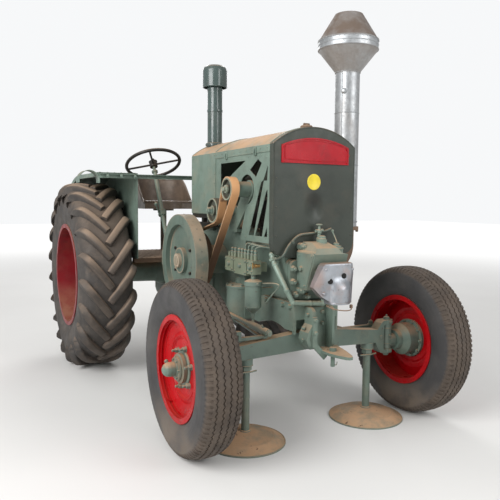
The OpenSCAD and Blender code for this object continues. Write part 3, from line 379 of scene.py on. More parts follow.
dark_sage = painted("dark_enamel_on_bar", scaled(SAGE, 0.4), dust=0.5, rough=0.4)
bar = Shape()
bar.tube([(-238, 6, 1004), (-225, -50, 1030), (-196, -52, 1076), (-171, -50, 1104), (-140, -50, 1132),
          (-107, -50, 1147), (-50, -50, 1153), (7, -52, 1158), (56, -52, 1166), (96, -54, 1178)], 7.5)
bar.bolt((-168, -58, 1108), AHEAD, 16)
bar.made("front_bar", dark_sage, "dark_sage_paint")

# Heat shield: thin aluminium sheet, hammered round over a wooden form, dusty
# pink on top and held by round-headed screws. A wire ring hangs below it.
SHIELD_Y, SHIELD_BACK, SHIELD_LOW, SHIELD_TOP, CORNER = -246, -214, 782, 1004, 6
SPOUT_X, SPOUT_R, SPOUT_OUT, SPOUT_HIGH, SPOUT_BLEND, FACE_OUT = 9, 66, 56, 960, 100, 28
SHEET_ROWS, SHEET_STEPS = 56, 60


def aluminium(s):
    """Bright sheet gone cloudy and pitted, with tan dust on top."""
    cloud = s.patchy(6, 4)
    tone = cloud.mix((0.23, 0.245, 0.265), (0.42, 0.445, 0.48))
    tone = (s.noise(5, 5, 0.7).ease(0.48, 0.66) * 0.55).mix(tone, (0.42, 0.31, 0.27))
    tone = (s.facing_up().ease(0.45, 0.95) * 0.8).mix(tone, (0.52, 0.33, 0.22))
    edge = s.place().along("X").ease(-0.115, -0.075, 1, 0)
    tone = (edge * s.noise(8, 4).ease(0.3, 0.6) * 0.5).mix(tone, (0.50, 0.33, 0.27))
    tone = (s.noise(70, 3).ease(0.62, 0.70) * 0.5).mix(tone, (0.16, 0.13, 0.12))
    height = s.noise(11, 2) + s.noise(60, 4) * 0.2
    return {"Base Color": tone, "Roughness": s.patchy(20, 3, 0.30, 0.48), "Metallic": 0.75,
            "Normal": height.bump(0.5, 0.003)}


bare_aluminium = finish("bare_aluminium", aluminium)
LEFT_EDGE = [(770, -57), (796, -57), (828, -108), (876, -152), (898, -144), (990, -100), (999, -91),
             (1004, -84)]
RIGHT_EDGE = [(770, 94), (945, 112), (990, 104), (998, 97), (1004, 86)]


def between(table, z):
    """Value at a height, from a table of heights and values."""
    for (low, first), (high, last) in zip(table, table[1:]):
        if z <= high:
            return first + (last - first) * max(0.0, z - low) / (high - low)
    return table[-1][1]


# The flat face's ends right and left of the spout: reach and slope, in its radii
RIGHT_END, LEFT_END = (2.45, 1.3), (1.5, 0.45)


def shield_front(x, z):
    """How far the sheet stands out: a flat face above, a round spout below."""
    u = (x - SPOUT_X) / SPOUT_R
    reach, slope = RIGHT_END if u < 0 else LEFT_END
    face = FACE_OUT * max(0.0, min(1.0, (reach - abs(u)) / slope))
    low = max(0.0, min(1.0, (SPOUT_HIGH - z) / SPOUT_BLEND))
    low = low * low * (3 - 2 * low)
    spout = SPOUT_OUT * math.sqrt(max(0.0, 1 - u * u)) * low
    return math.hypot(spout, face * (1 - 0.3 * low))


sheet = Shape()
rows = []
for z in (SHIELD_LOW + (SHIELD_TOP - SHIELD_LOW) * k / SHEET_ROWS for k in range(SHEET_ROWS + 1)):
    low, high = between(LEFT_EDGE, z), between(RIGHT_EDGE, z)
    top = min(1.0, (SHIELD_TOP - z) / 10)
    front = SHIELD_Y + CORNER * (1 - math.sqrt(1 - (1 - top) ** 2))
    line = [low + (high - low) * k / SHEET_STEPS for k in range(SHEET_STEPS + 1)]
    rows.append([(low - 1, SHIELD_BACK, z), (low - 1, front + 7, z)]
                + [(x, front - shield_front(x, z), z) for x in line]
                + [(high + 1, front + 7, z), (high + 1, SHIELD_BACK, z)])
rows.append([(x, SHIELD_BACK, SHIELD_TOP + 1) for x, y, z in rows[-1]])
sheet.skin(rows, closed=False)
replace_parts(sheet.made("heat_shield_sheet", bare_aluminium, "bare_aluminium", angle=50), "heat_shield")
screws = Shape()
for x, z, radius in [(-92, 842, 12), (90, 968, 10), (-86, 972, 8)]:
    head = [(radius, 0), (radius, 2), (radius * 0.85, radius * 0.5), (radius * 0.4, radius * 0.8)]
    screws.turned((x, SHIELD_Y - shield_front(x, z) + 1, z), AHEAD, head, 20)
screws.bead((SPOUT_X, SHIELD_Y, 790), UP, SPOUT_R + 0.5, 2.2, 64)
screws.made("shield_screws", bare_aluminium, "bare_aluminium")
# The vents are matt black discs set in the sheet: painted shade standing in for the dark of the openings.
holes = Shape()
for x, z, way in [(-60, 908, (-0.35, -0.93, 0.12)), (26, 935, (0, -1, 0.15))]:
    holes.turned((x, SHIELD_Y - shield_front(x, z), z), way, [(15, -9), (15, 3), (12.5, 3.5)], 28)
painted_vent_shade = finish("painted_vent_shade", lambda s: {
    "Base Color": s.noise(30, 3).mix((0.004, 0.004, 0.004), (0.016, 0.014, 0.013)), "Roughness": 0.95})
holes.made("shield_vents", painted_vent_shade, "black_paint")


def iron(s):
    """Bare cast iron, rusted brown, under dry soil."""
    tone = s.noise(9, 6, 0.65).mix((0.10, 0.062, 0.042), (0.25, 0.165, 0.11))
    tone = (s.facing_up().ease(0.3, 0.95) * 0.6).mix(tone, (0.42, 0.27, 0.17))
    return {"Base Color": tone, "Roughness": 0.8, "Normal": s.noise(90, 5).bump(0.5, 0.001)}


dusty_iron = finish("dusty_brown_iron", iron)
wire = Shape()
wire.tube([(-70, -252, 774), (-56, -296, 764), (-20, -320, 757), (20, -324, 754), (58, -304, 756),
           (80, -268, 764)], 3)
wire.turned((78, -276, 756), UP, [(9, 0), (9, 16), (6, 19)], 16)
wire.made("shield_ring", dusty_iron, "dusty_iron")

# Front support and tow gear: one heavy casting that straddles the axle beam,
# with a channel bolted to its nose that carries the towing tongue and pin.
dress(cast_sage, "front_support", "tow_hitch")
nose = Shape()
for place in [(-70, -154, 676), (-70, -154, 604), (-34, -71, 706), (30, -71, 706), (30, -71, 640),
              (-34, -71, 640)]:
    nose.bolt(place, AHEAD, 20)
for z in (700, 628, 560):
    nose.bolt((70, -100, z), LEFT, 20)
    nose.bolt((-82 if z > 650 else -110, -100, z), OUT, 18)
for y in (-20, 60, 250, 380):
    for side in (-1, 1):
        nose.bolt((side * 150, y, 740), (side, 0, 0), 24)
nose.tube([(24, -192, 430), (42, -200, 424), (52, -196, 440)], 2.5)
nose.made("nose_bolts", cast_sage, "sage_paint")

# Front axle and steering: forged beam with forked ends, knuckles on their
# kingpins, ball-jointed rods. The same green, smoother than on the castings.
forged_sage = painted("sage_enamel_on_forgings", scaled(SAGE, 0.8), "axle_beam", "knuckle_right",
                      "knuckle_left", "tie_rod", "drag_link", "drop_arm", dust=0.85, wear=0.6, grain=0.0008)
KINGPIN_X, EAR_TOP, EAR_LOW = 575, 600, 394
ends = Shape()
for side in (-1, 1):
    x = side * KINGPIN_X
    for z in (EAR_TOP - 12, EAR_LOW + 12):
        ends.bolt((x, -37, z), AHEAD, 16, 9)
        ends.turned((x, 36, z), BEHIND, [(9, 0), (9, 4), (6, 6)], 14)
    ends.bolt((side * 200, 600, 552), DOWN, 24, 10)
    ends.turned((side * 508, -33, 498), AHEAD, [(13, -1), (13, 4), (10, 6)], 20)
ends.made("axle_fittings", forged_sage, "sage_paint")
for side, hand in SIDES:
    x = side * KINGPIN_X
    top = 624 if side < 0 else 612
    joint = Shape()
    joint.turned((x, 0, top), UP, [(17, -1), (17, 5), (8, 7), (5, 9), (5, 17), (3, 20)], 20)
    joint.turned((x, 0, EAR_LOW - 12), DOWN, [(17, -1), (17, 6), (12, 10)], 20)
    for z in (450, 548):
        joint.bead((x, 0, z), UP, 33.5, 3, 40)
    joint.turned((x, -32, 500), AHEAD, [(9, 0), (9, 8), (4, 10), (4, 20), (2.5, 22)], 14)
    joint.bolt((x, 150, 545), UP, 26, 16, stud=5)
    joint.made(f"knuckle_{hand}_fittings", forged_sage, "sage_paint", "knuckle_" + hand)
LINK_X, ARM_Y, ARM_Z = -312, 1372, 895
link = Shape()
link.turned((LINK_X, -56, 608), AHEAD, [(20, -1), (20, 4), (15, 7), (15, 13)], 6)
link.turned((LINK_X, 20, 611), UP, [(7, 20), (7, 26), (4, 28), (4, 34)], 12)
link.turned((LINK_X - 14, ARM_Y, 681), OUT, [(15, -1), (15, 4), (11, 7)], 24)
link.made("drag_link_fittings", forged_sage, "sage_paint", "drag_link")
arm = Shape()
arm.bolt((-277, ARM_Y, ARM_Z), LEFT, 34, 20, stud=8)
arm.made("drop_arm_nut", forged_sage, "sage_paint", "drop_arm")

# Front wheels: pressed steel discs welded into rolled rims, sprayed bright
# red, and bolted to a green cast hub whose domed cap keeps the grease in.
RED = (0.37, 0.002, 0.005)
WHEEL_X, WHEEL_Z, DISC_FACE, FLANGE_FACE = 757.5, 464, 31, 4
RIM_R, RIM_FACE, BEAD_R = 281, 83.3, 252
# Green parts of the hub, in metres: its drum outside the disc, its flange inside it
HUB_R, HUB_FROM, FLANGE_R, FLANGE_TO = 0.0795, 0.0318, 0.1205, 0.0218


def wheel_and_hub(s):
    """Red, but green on the hub, inside the disc and outside it."""
    radius = s.place((0, axle_y, WHEEL_Z / 1000), (0, 1, 1)).length()
    offset = s.place().along("X").maths("ABSOLUTE") - WHEEL_X / 1000
    drum = radius.maths("LESS_THAN", HUB_R) * offset.maths("GREATER_THAN", HUB_FROM)
    flange = radius.maths("LESS_THAN", FLANGE_R) * offset.maths("LESS_THAN", FLANGE_TO)
    red = enamel(RED, dust=0.08, wear=0.12, rough=0.32, grain=0.0004, shine=0.15)(s)
    green = enamel(scaled(SAGE, 0.9), dust=0.9, wear=0.3)(s)
    soil = drum * offset.ease(0.085, 0.095, 1, 0) * (s.noise(16, 4).ease(0.25, 0.6) * 0.5 + 0.3)
    tone = (drum + flange).mix(red["Base Color"], green["Base Color"])
    return {**red, "Base Color": soil.mix(tone, (0.19, 0.13, 0.085))}


red_enamel = painted("bright_red_enamel", RED, dust=0.08, wear=0.1, rough=0.32, grain=0.0003, shine=0.15)
wheel_paint = finish("front_wheel_paint", wheel_and_hub)
dress(wheel_paint, "front_wheel_right", "front_wheel_left")
for side, hand in SIDES:
    body = "wheel_front_" + hand

    def spot(offset, radius=0.0, turn=0.0):
        """A point by its offset outboard, its radius and its angle."""
        turn = math.radians(turn)
        return (side * (WHEEL_X + offset), radius * math.cos(turn), WHEEL_Z + radius * math.sin(turn))

    out, back = (side, 0, 0), (-side, 0, 0)
    hub = Shape()
    for k in range(6):
        hub.bolt(spot(DISC_FACE, 107, 60 * k + 45), out, 25, 18, stud=18, phase=k)
    for k in range(10):
        hub.bolt(spot(FLANGE_FACE, 110, 36 * k), back, 17, 12, phase=k)
    for k in range(6):
        hub.bolt(spot(79, 50, 60 * k), out, 11)
    hub.turned(spot(112, 33, 46), (side * 0.25, 0.65, 0.7),
               [(8, 0), (8, 12), (11, 13), (11, 21), (5, 26)], 12)
    hub.bead(spot(72, 0), out, 62, 2.5)
    hub.turned(spot(DISC_FACE), out, [(94, -1), (94, 7), (91, 10), (70, 10)], 64)
    hub.bead(spot(82, 0), out, 39, 4)
    hub.made(body + "_hub_fittings", forged_sage, "sage_paint", body, spot(0))
    rim = Shape()
    for edge in (-1, 1):
        rim.bead(spot(edge * (RIM_FACE - 2.5)), out, RIM_R - 2.8, 3.4, 128)
        rim.bead(spot(edge * 66), out, BEAD_R - 0.5, 3.2, 128)
    rim.bead(spot(47), out, 238, 3.5, 128)
    rim.bead(spot(38.5), out, 165, 4, 128)
    for place, axis in ((spot(60, 240, -60), (side * 0.9, 0.1, 0.42)),
                        (spot(-34, 240, 62), (-side * 0.9, -0.2, -0.42))):
        rim.turned(place, axis, [(5, -14), (5, 22), (4, 24), (4, 34)], 12)
    rim.made(body + "_rim_beads", red_enamel, "bright_red_paint", body, spot(0))

# Front tyres: five ribs parted by zig-zag grooves, with slots cut into both
# shoulders. Moulded rubber, grey on its walls, brown with dust on its tread.
TYRE_R, TEETH, WALK, GROOVE, SLOT = 464, 96, 4.5, 6.0, 6.5
WALL = [(72, 259), (76.3, 268), (76.3, 284), (86, 294), (95.4, 308), (99, 320), (102.5, 333), (105, 349),
        (106, 364), (105.6, 378), (104.2, 394), (101.8, 407), (99.4, 417)]
SHOULDER = [(98, 422, 0), (97, 426, 0.7), (91, 437.5, 1), (84.5, 446.2, 1), (77, 450.5, 1), (69, 454.3, 1),
            (66.5, 455.2, 0)]
STEPS = [(0, 0, 0), (0.05, 0.2, 1), (0.25, 1, 1), (0.45, 0.2, 1), (0.5, 0, 0), (0.75, -1, 0)]


def tyre_rubber(s):
    """Grey walls with moulded rings, soil low down, and a tread worn brown."""
    radius = s.place(stretch=(0, 1, 1)).length()
    tread = radius.ease(0.418, 0.436)
    wall = s.patchy(4, 5, rough=0.6).mix((0.034, 0.033, 0.034), (0.062, 0.058, 0.055))
    worn = s.patchy(9, 5, rough=0.65).mix((0.055, 0.042, 0.033), (0.098, 0.074, 0.056))
    low = s.place().along("Z").ease(-0.40, -0.15, 1, 0)
    wall = (low * s.noise(6, 4).ease(0.35, 0.6) * 0.6).mix(wall, (0.20, 0.155, 0.115))
    tone = tread.mix(wall, worn)
    lines = (radius * 262).maths("SINE").ease(0.6, 1) * radius.ease(0.31, 0.33) * (1 - tread)
    height = s.noise(140, 4) * 0.3 + lines * 0.5
    return {"Base Color": tone, "Roughness": s.patchy(12, 3, 0.55, 0.75) + tread * 0.15,
            "Normal": height.bump(0.5, 0.0015)}


ribbed_rubber = finish("ribbed_tyre_rubber", tyre_rubber)


def crown_r(offset):
    """Radius of the tread at an offset from the middle of the tyre."""
    return TYRE_R - 18 * abs(offset / 84.8) ** 3


half = [(x, r, 0, 0) for x, r in WALL] + [(x, r, 0, cut * SLOT) for x, r, cut in SHOULDER]
rows = [(-x, r, walk, cut) for x, r, walk, cut in half]
for middle in (-51, -17, 17, 51):
    for shift, deep in ((-4, 0), (-2.6, GROOVE), (2.6, GROOVE), (4, 0)):
        rows.append((middle + shift, crown_r(middle + shift) - deep, WALK, 0))
    if middle < 51:
        rows.append((middle + 17, crown_r(middle + 17), 0, 0))
rows += half[::-1]
for side, hand in SIDES:
    tyre = Shape()
    rings = []
    for tooth in range(TEETH):
        for share, sway, slotted in STEPS:
            turn = 2 * math.pi * (tooth + share) / TEETH
            rings.append([(side * WHEEL_X + x + walk * sway, (r - cut * slotted) * math.cos(turn),
                           WHEEL_Z + (r - cut * slotted) * math.sin(turn)) for x, r, walk, cut in rows])
    tyre.skin(rings, closed=False, loop=True)
    name = "front_tyre_" + hand
    cover = tyre.made(name + "_ribbed", ribbed_rubber, "tyre_rubber", "wheel_front_" + hand,
                      (side * WHEEL_X, 0, WHEEL_Z), 28)
    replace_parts(cover, name)

# Rear wheels: dished steel discs in wide rims, a duller red darkened as painted
# shade, on tyres whose lugs hold tan dust on top and dark dirt between them.
REAR_X, REAR_Y, REAR_Z = 815, 2020, 734
# A darker red than the front wheels: duller paint, and painted shade for the rear wheels, which stand in
# shade.
shaded_dull_red = painted("dull_red_enamel", (0.19, 0.010, 0.014), "rear_wheel_right", "rear_wheel_left",
                   dust=0.4, wear=0.4, rough=0.42)


def lugged(s):
    """Dark dirt between the lugs, tan dust on top of them."""
    radius = s.place(stretch=(0, 1, 1)).length()
    lug = radius.ease(0.690, 0.722)
    wall = s.patchy(5, 5, rough=0.6).mix((0.034, 0.031, 0.029), (0.066, 0.057, 0.050))
    wall = (s.noise(13, 6, 0.7).ease(0.5, 0.7) * 0.35).mix(wall, (0.15, 0.11, 0.08))
    top = s.patchy(8, 5, rough=0.6).mix((0.050, 0.040, 0.033), (0.105, 0.080, 0.062))
    tone = (lug * 0.85).mix(wall, top)
    tone = (s.facing_up().ease(0, 0.9) * (lug * 0.6 + 0.3)).mix(tone, (0.33, 0.235, 0.165))
    height = s.noise(120, 4) + s.noise(9, 3) * 2
    return {"Base Color": tone, "Roughness": s.patchy(12, 3, 0.62, 0.85),
            "Normal": height.bump(0.5, 0.002)}


lugged_rubber = finish("lugged_tyre_rubber", lugged)
LUGS, LUG_ANGLE, LUG_REACH, HUB_STEP, DISC_STEP = 21, math.radians(52), 316, -86, -96
# Along the lug: distance from its middle, radius, share of the width, share of the depth
LUG_SPINE = [(-172, 690, 0.9, 0.6), (-168, 712, 0.96, 1), (-140, 720, 1, 1), (-90, 727, 1, 1),
             (-40, 731.5, 1, 1), (0, 733, 1, 1), (40, 729, 1, 1), (70, 724, 1, 1), (100, 710, 1.02, 0.95),
             (126, 690, 1.02, 0.9), (143, 664, 0.92, 0.7), (152, 640, 0.76, 0.5), (155, 618, 0.66, 0.35),
             (151, 592, 0.6, 0.25), (144, 566, 0.45, 0.15)]
LUG_FLANK = [(32, -72), (27, -16), (24.5, -7), (19, -2), (8, -0.3)]
LUG_SECTION = [(-w, drop) for w, drop in LUG_FLANK] + LUG_FLANK[::-1]
CARCASS = [(173.7, 383), (173.7, 409), (177, 430), (184, 458), (191, 496), (194, 536), (192.5, 566),
           (188, 592), (178.5, 634), (169, 655), (155, 669), (136, 680), (112, 688), (84, 693), (58, 696),
           (30, 697.6), (0, 698)]
for side, hand in SIDES:
    tyre = Shape()
    centre = Vector((side * REAR_X, REAR_Y, REAR_Z))
    section = [(r, x) for x, r in CARCASS] + [(r, -x) for x, r in CARCASS[-2::-1]]
    tyre.turned(centre, (side, 0, 0), section, 160, hollow=True)
    for k in range(2 * LUGS):
        row = 1 if k % 2 else -1
        lean = LUG_ANGLE if row > 0 else math.pi - LUG_ANGLE
        ahead = Vector((math.cos(lean), math.sin(lean), 0))
        across = Vector((-math.sin(lean), math.cos(lean), 0))
        turn = Matrix.Rotation(2 * math.pi * (k // 2 + row / 4) / LUGS, 3, "X")
        middle = Vector((row * LUG_REACH / 2 * math.cos(LUG_ANGLE), 0, 0))
        rings = []
        for along, top, wide, deep in LUG_SPINE:
            spine = middle + ahead * along
            rings.append([centre + turn @ (spine + across * w * wide + Vector((0, 0, top + drop * deep)))
                          for w, drop in LUG_SECTION])
        tyre.skin(rings, caps=True)
    name, body = "rear_tyre_" + hand, "wheel_rear_" + hand
    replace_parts(tyre.made(name + "_lugged", lugged_rubber, "tyre_rubber", body, centre, 40), name)
    out = (side, 0, 0)
    hub = Shape()
    for k, (y, z) in enumerate(circle(8, 104)):
        hub.bolt((side * (REAR_X + HUB_STEP), REAR_Y + y, REAR_Z + z), out, 28, 20, stud=14, phase=k)
    for offset, size, ring in ((DISC_STEP, 24, circle(12, 240, 15)), (31, 16, circle(6, 58))):
        for y, z in ring:
            hub.bolt((side * (REAR_X + offset), REAR_Y + y, REAR_Z + z), out, size)
    hub.turned((side * (REAR_X + 35), REAR_Y, REAR_Z), out, [(34, -1), (34, 16), (26, 22), (12, 24)], 32)
    for offset, radius in ((-177, 402.5), (177, 402.5), (-62, 300)):
        hub.bead((side * (REAR_X + offset), REAR_Y, REAR_Z), out, radius, 4, 128)
    hub.made(body + "_hub_fittings", shaded_dull_red, "dull_red_paint", body, centre)

# Rear axle and drawbar: a cast gearbox with trumpet arms to the brake drums,
# and a forged bar with a pin hole slung below it, brown with dry soil.
dress(cast_sage, "rear_axle_housing")
dress(dusty_iron, "drawbar", "platform", "exhaust_pipe")
GEARBOX_X, GEARBOX_BACK = 174, 2230
gearbox = Shape()
for y in range(1215, 2200, 120):
    for side in (-1, 1):
        gearbox.bolt((side * GEARBOX_X, y, 838), (side, 0, 0), 20)
for x in (-110, 0, 110):
    for z in (590, 770):
        gearbox.bolt((x, GEARBOX_BACK + 8, z), BEHIND, 22)
gearbox.plate([(x, GEARBOX_BACK, z) for x, z in ((-140, 570), (140, 570), (140, 790), (-140, 790))],
              AHEAD, (0, 10, 0), 4)
gearbox.turned((0, GEARBOX_BACK, 680), BEHIND,
               [(44, 0), (44, 34), (30, 38), (18, 38), (18, 60), (14, 62)], 32)
for side in (-1, 1):
    for y, z in circle(10, 104):
        gearbox.bolt((side * 199, REAR_Y + y, REAR_Z + z), (side, 0, 0), 18)
    gearbox.bead((side * 520, REAR_Y, REAR_Z), LEFT, 141, 3, 80)
gearbox.made("gearbox_fittings", cast_sage, "sage_paint")
clevis = Shape()
for y in (1965, 2155):
    for x in (-30, 30):
        clevis.bolt((x, y, 404), DOWN, 20)
clevis.bead((0, 2560, 434), UP, 24, 4, 40)
clevis.made("drawbar_bolts", dusty_iron, "dusty_iron")

# Radiator core between the grille panels, black, with the rows of fins that
# show through their openings, and its filler neck with a wing cap.
black_enamel = painted("black_enamel", (0.014, 0.013, 0.012), "radiator", "steering_wheel", "controls",
                       dust=0.3, wear=0.3, rough=0.4)
CORE_X, CORE_FRONT, CORE_REAR, FIN, FIN_STEP = 110, 30, 400, 4, 18
fins = Shape()
for z in range(1130, 1590, FIN_STEP):
    for side in (-1, 1):
        fins.plate(flank(side * CORE_X, CORE_FRONT, CORE_REAR, z, z + FIN),
                   (-side, 0, 0), (side * 12, 0, 0), 0.6)
fins.made("radiator_fins", black_enamel, "black_paint")
cap = Shape()
cap.turned((14, 96, 1752), UP, [(33, 0), (36, 3), (36, 17), (31, 22), (12, 25), (8, 28)], 24)
cap.plate([(-10, 93, 1774), (38, 93, 1774), (34, 93, 1788), (-6, 93, 1788)], (0, 0, 0), (0, 6, 0), 1.5)
cap.made("filler_cap", dusty_iron, "dusty_iron")

# Bonnet: pressed and folded steel sheet over a frame, in sage green. The front
# plate is a browner green, darkened as painted shade, and bears a bare yellow disc.
BONNET_X, PANEL_X, FACE_Y, ARCH_R, ARCH_Z, DENT = 277, 273.7, -25, 424, 1327, (-4, 1296)
FOLD_Z, SEAM_Y, REAR_FROM, REAR_TO, REAR_LOW, REAR_HIGH = 1609, 716, 724, 1121, 1248, 1642
sheet_sage = painted("sage_enamel_on_sheet", SAGE, "bonnet_rear", "bonnet_side_right", "bonnet_side_left",
                     dust=0.45, wear=0.35, rough=0.42, grain=0.0004)
painted("dusty_bonnet_top", SAGE, "bonnet_top", dust=1.0, wear=0.35, grain=0.0004)
# The front plate's enamel, darker than the sides' sage: painted shade on the front face.
plate_enamel = enamel((0.044, 0.052, 0.043), dust=0.3, wear=0.2, rough=0.40, grain=0.0004, shine=0.3)


def plate_and_dent(s):
    """The front plate's enamel, dark and pushed in at one spot, with painted shade over the dent and just
    above it.
    """
    look = plate_enamel(s)
    away = s.place((DENT[0] / 1000, axle_y + FACE_Y / 1000, DENT[1] / 1000), (1, 1, 0.8)).length()
    dent = away.ease(0.0, 0.075, 1, 0)
    # Painted shade: a dark smear over the upper side of the dent and the plate just above it.
    above = s.place((DENT[0] / 1000, axle_y, DENT[1] / 1000 + 0.05), (1.4, 0, 1)).length()
    dent_shade = above.ease(0.01, 0.10, 1, 0)
    return {**look, "Base Color": (dent_shade * 0.6).mix(look["Base Color"], (0.012, 0.012, 0.011)),
            "Normal": (1 - dent).bump(0.8, 0.02)}


plate_green_painted_shade = finish("front_plate_enamel_painted_shade", plate_and_dent)
dress(plate_green_painted_shade, "bonnet_front")


def arch_line(y, grow=0.0, reach=1.0, count=40):
    """Points over the arch of the bonnet at one distance from the front axle."""
    widest = math.asin(BONNET_X / ARCH_R) * reach
    turns = [widest * (2 * k / count - 1) for k in range(count + 1)]
    return [((ARCH_R + grow) * math.sin(t), y, ARCH_Z + (ARCH_R + grow) * math.cos(t)) for t in turns]


def rivet(shape, place, axis, r=6):
    """Low round head."""
    shape.turned(place, axis, [(r, -0.5), (r * 0.9, r * 0.3), (r * 0.5, r * 0.6)], 12)


seams = Shape()
for y, radius in ((17, 4), (SEAM_Y, 3.5), (SEAM_Y + 12, 3.5), (REAR_TO + 1, 3)):
    seams.tube(arch_line(y, 0.5, 0.985, 48), radius, 8, 1)
for side in (-1, 1):
    face = side * BONNET_X
    seams.tube([(face, 20, FOLD_Z), (face, SEAM_Y, FOLD_Z)], 2.6, 8)
    seams.tube([(face, REAR_FROM, REAR_HIGH), (face, REAR_FROM, REAR_LOW), (face, REAR_TO, REAR_LOW),
                (face, REAR_TO, REAR_HIGH)], 2.6, 8, 1)
    for y, z in ([(y, 1630) for y in range(40, 720, 84)]
                 + [(y, z) for z in range(1270, 1640, 60) for y in (740, 1104)]):
        rivet(seams, (face, y, z), (side, 0, 0))
    for y in (180, 560):
        seams.plate(flank(face, y - 14, y + 14, 1596, 1640), (-side, 0, 0), (side * 7, 0, 0), 2)
        seams.tube([(face + side * lift, y, z) for lift, z in ((7, 1632), (13, 1612), (6, 1590))], 4, 8)
    for y, z in [(52, 1580), (110, 1590), (270, 1590), (660, 1590), (60, 1128), (300, 1122), (780, 1290)]:
        rivet(seams, (side * PANEL_X, y, z), (side, 0, 0), 5)
seams.made("bonnet_seams", sheet_sage, "sage_paint")

edge = Shape()
edge.tube(arch_line(FACE_Y + 3, -3, 0.985, 48), 5, 8, 1)
for side in (-1, 1):
    edge.tube([(side * 273, FACE_Y + 3, 1646), (side * 273, FACE_Y + 3, 1118)], 5, 8)
    for z in (1140, 1300, 1460):
        rivet(edge, (side * 256, FACE_Y, z), AHEAD, 5)
edge.made("front_plate_edge", plate_green_painted_shade, "dark_sage_paint")

plate_red = painted("nameplate_enamel", (0.36, 0.004, 0.012), "nameplate", dust=0.12, wear=0.1, rough=0.30,
                    grain=0.0002, shine=0.22)
PLATE_X, PLATE_Y, PLATE_LOW, PLATE_HIGH, ARCH_RISE = 206, -31, 1566, 1640, 34
frame_line = Shape()
arch = [((PLATE_X + 0.79) * t, PLATE_Y, PLATE_HIGH + ARCH_RISE * (1 - t * t))
        for t in (k / 8 for k in range(-7, 8))]
frame_line.tube([(-PLATE_X, PLATE_Y, PLATE_LOW), (-PLATE_X, PLATE_Y, PLATE_HIGH)] + arch
                + [(PLATE_X, PLATE_Y, PLATE_HIGH), (PLATE_X, PLATE_Y, PLATE_LOW),
                   (-PLATE_X, PLATE_Y, PLATE_LOW)], 1.6, 8, 2)
for side in (-1, 1):
    for x, z in ((PLATE_X + 10, PLATE_LOW - 10), (PLATE_X + 8, PLATE_HIGH - 6)):
        rivet(frame_line, (side * x, PLATE_Y - 2, z), AHEAD, 5)
frame_line.made("nameplate_rivets", plate_red, "bright_red_paint")


def yellow(s):
    """Yellow film, faded in clouds."""
    tone = s.noise(14, 4).ease(0.35, 0.7).mix((0.78, 0.62, 0.025), (0.60, 0.46, 0.03))
    return {"Base Color": tone, "Roughness": s.patchy(9, 2, 0.4, 0.55)}


disc = Shape()
disc.turned((-9, FACE_Y, 1444), AHEAD, [(45, -0.5), (45, 0.8), (43, 1.4), (39, 1.4), (38, 0.9)], 64)
disc.made("yellow_disc", finish("yellow_sticker", yellow), "dark_sage_paint")

# Exhaust: a cast elbow from the engine, then a stack and spark arrester
# rolled from galvanised sheet, with folded seams, the cones brown with soot.
STACK_X, STACK_Y, STACK_TOP, STACK_R, DRUM_R = 368, 180, 2475, 75, 183
CONE_LOW, DRUM_LOW, DRUM_HIGH = STACK_TOP - 348, STACK_TOP - 213, STACK_TOP - 158


def zinc(s):
    """Spangled zinc, brown with soot on the upper cone and stained on the lower."""
    spangle = s.add("ShaderNodeTexVoronoi", {}, {"Vector": s.place(), "Scale": 60}, out=1)
    bright = s.add("ShaderNodeSeparateColor", {}, {0: spangle})
    tone = (bright * 0.4 + s.noise(5, 4) * 0.6).mix((0.27, 0.28, 0.29), (0.50, 0.52, 0.53))
    height = s.place().along("Z")
    upper = height.ease(DRUM_HIGH / 1000 - 0.01, DRUM_HIGH / 1000 + 0.01)
    lower = height.ease(CONE_LOW / 1000 - 0.02, CONE_LOW / 1000 + 0.01) * height.ease(
        DRUM_LOW / 1000 - 0.004, DRUM_LOW / 1000 + 0.004, 1, 0)
    stain = s.noise(9, 5, 0.65).ease(0.25, 0.62)
    tone = (upper * (stain * 0.35 + 0.6)).mix(tone, (0.135, 0.095, 0.069))
    tone = (lower * (stain * 0.4 + 0.35)).mix(tone, (0.22, 0.19, 0.165))
    tone = (s.noise(4, 5, 0.7, (1, 1, 0.25)).ease(0.52, 0.72) * 0.4).mix(tone, (0.30, 0.25, 0.21))
    return {"Base Color": tone, "Roughness": s.patchy(9, 4, 0.36, 0.55) + upper * 0.2,
            "Metallic": 0.75 - upper * 0.6 - lower * 0.35, "Normal": s.noise(14, 3).bump(0.3, 0.002)}


zinc_sheet = finish("galvanised_sheet", zinc)
dress(zinc_sheet, "exhaust_stack")
folds = Shape()
for z, radius, thick in [(DRUM_LOW, DRUM_R, 3.5), (DRUM_HIGH, DRUM_R, 4), (CONE_LOW, STACK_R + 1, 4),
                         (STACK_TOP - 4, STACK_R + 9, 3), (DRUM_LOW + 27, DRUM_R + 0.5, 2.2),
                         (1560, STACK_R, 2.5), (1880, STACK_R, 2.5), (1210, STACK_R, 5)]:
    folds.bead((STACK_X, STACK_Y, z), UP, radius, thick)
folds.tube([(STACK_X - 66, STACK_Y - 36, 1200), (STACK_X - 66, STACK_Y - 36, CONE_LOW)], 3, 8)
folds.turned((STACK_X - 60, STACK_Y - 45, 2007), (-0.8, -0.6, 0),
             [(17, -2), (17, 5), (12, 8), (12, 16), (8, 20)], 24)
for x, y in circle(40, DRUM_R + 1):
    folds.turned((STACK_X + x, STACK_Y + y, DRUM_HIGH - 5), (x, y, 0), [(4, -2), (4, 2), (2, 3.5)], 8)
folds.made("stack_folds", zinc_sheet, "galvanised_sheet")
elbow = Shape()
for y, z in circle(6, 76, 30):
    elbow.bolt((190, STACK_Y + y, 945 + z), LEFT, 18, stud=6)
for x, y in circle(4, 78, 45):
    elbow.bolt((STACK_X + x, STACK_Y + y, 1158), DOWN, 15)
elbow.made("exhaust_bolts", dusty_iron, "dusty_iron")

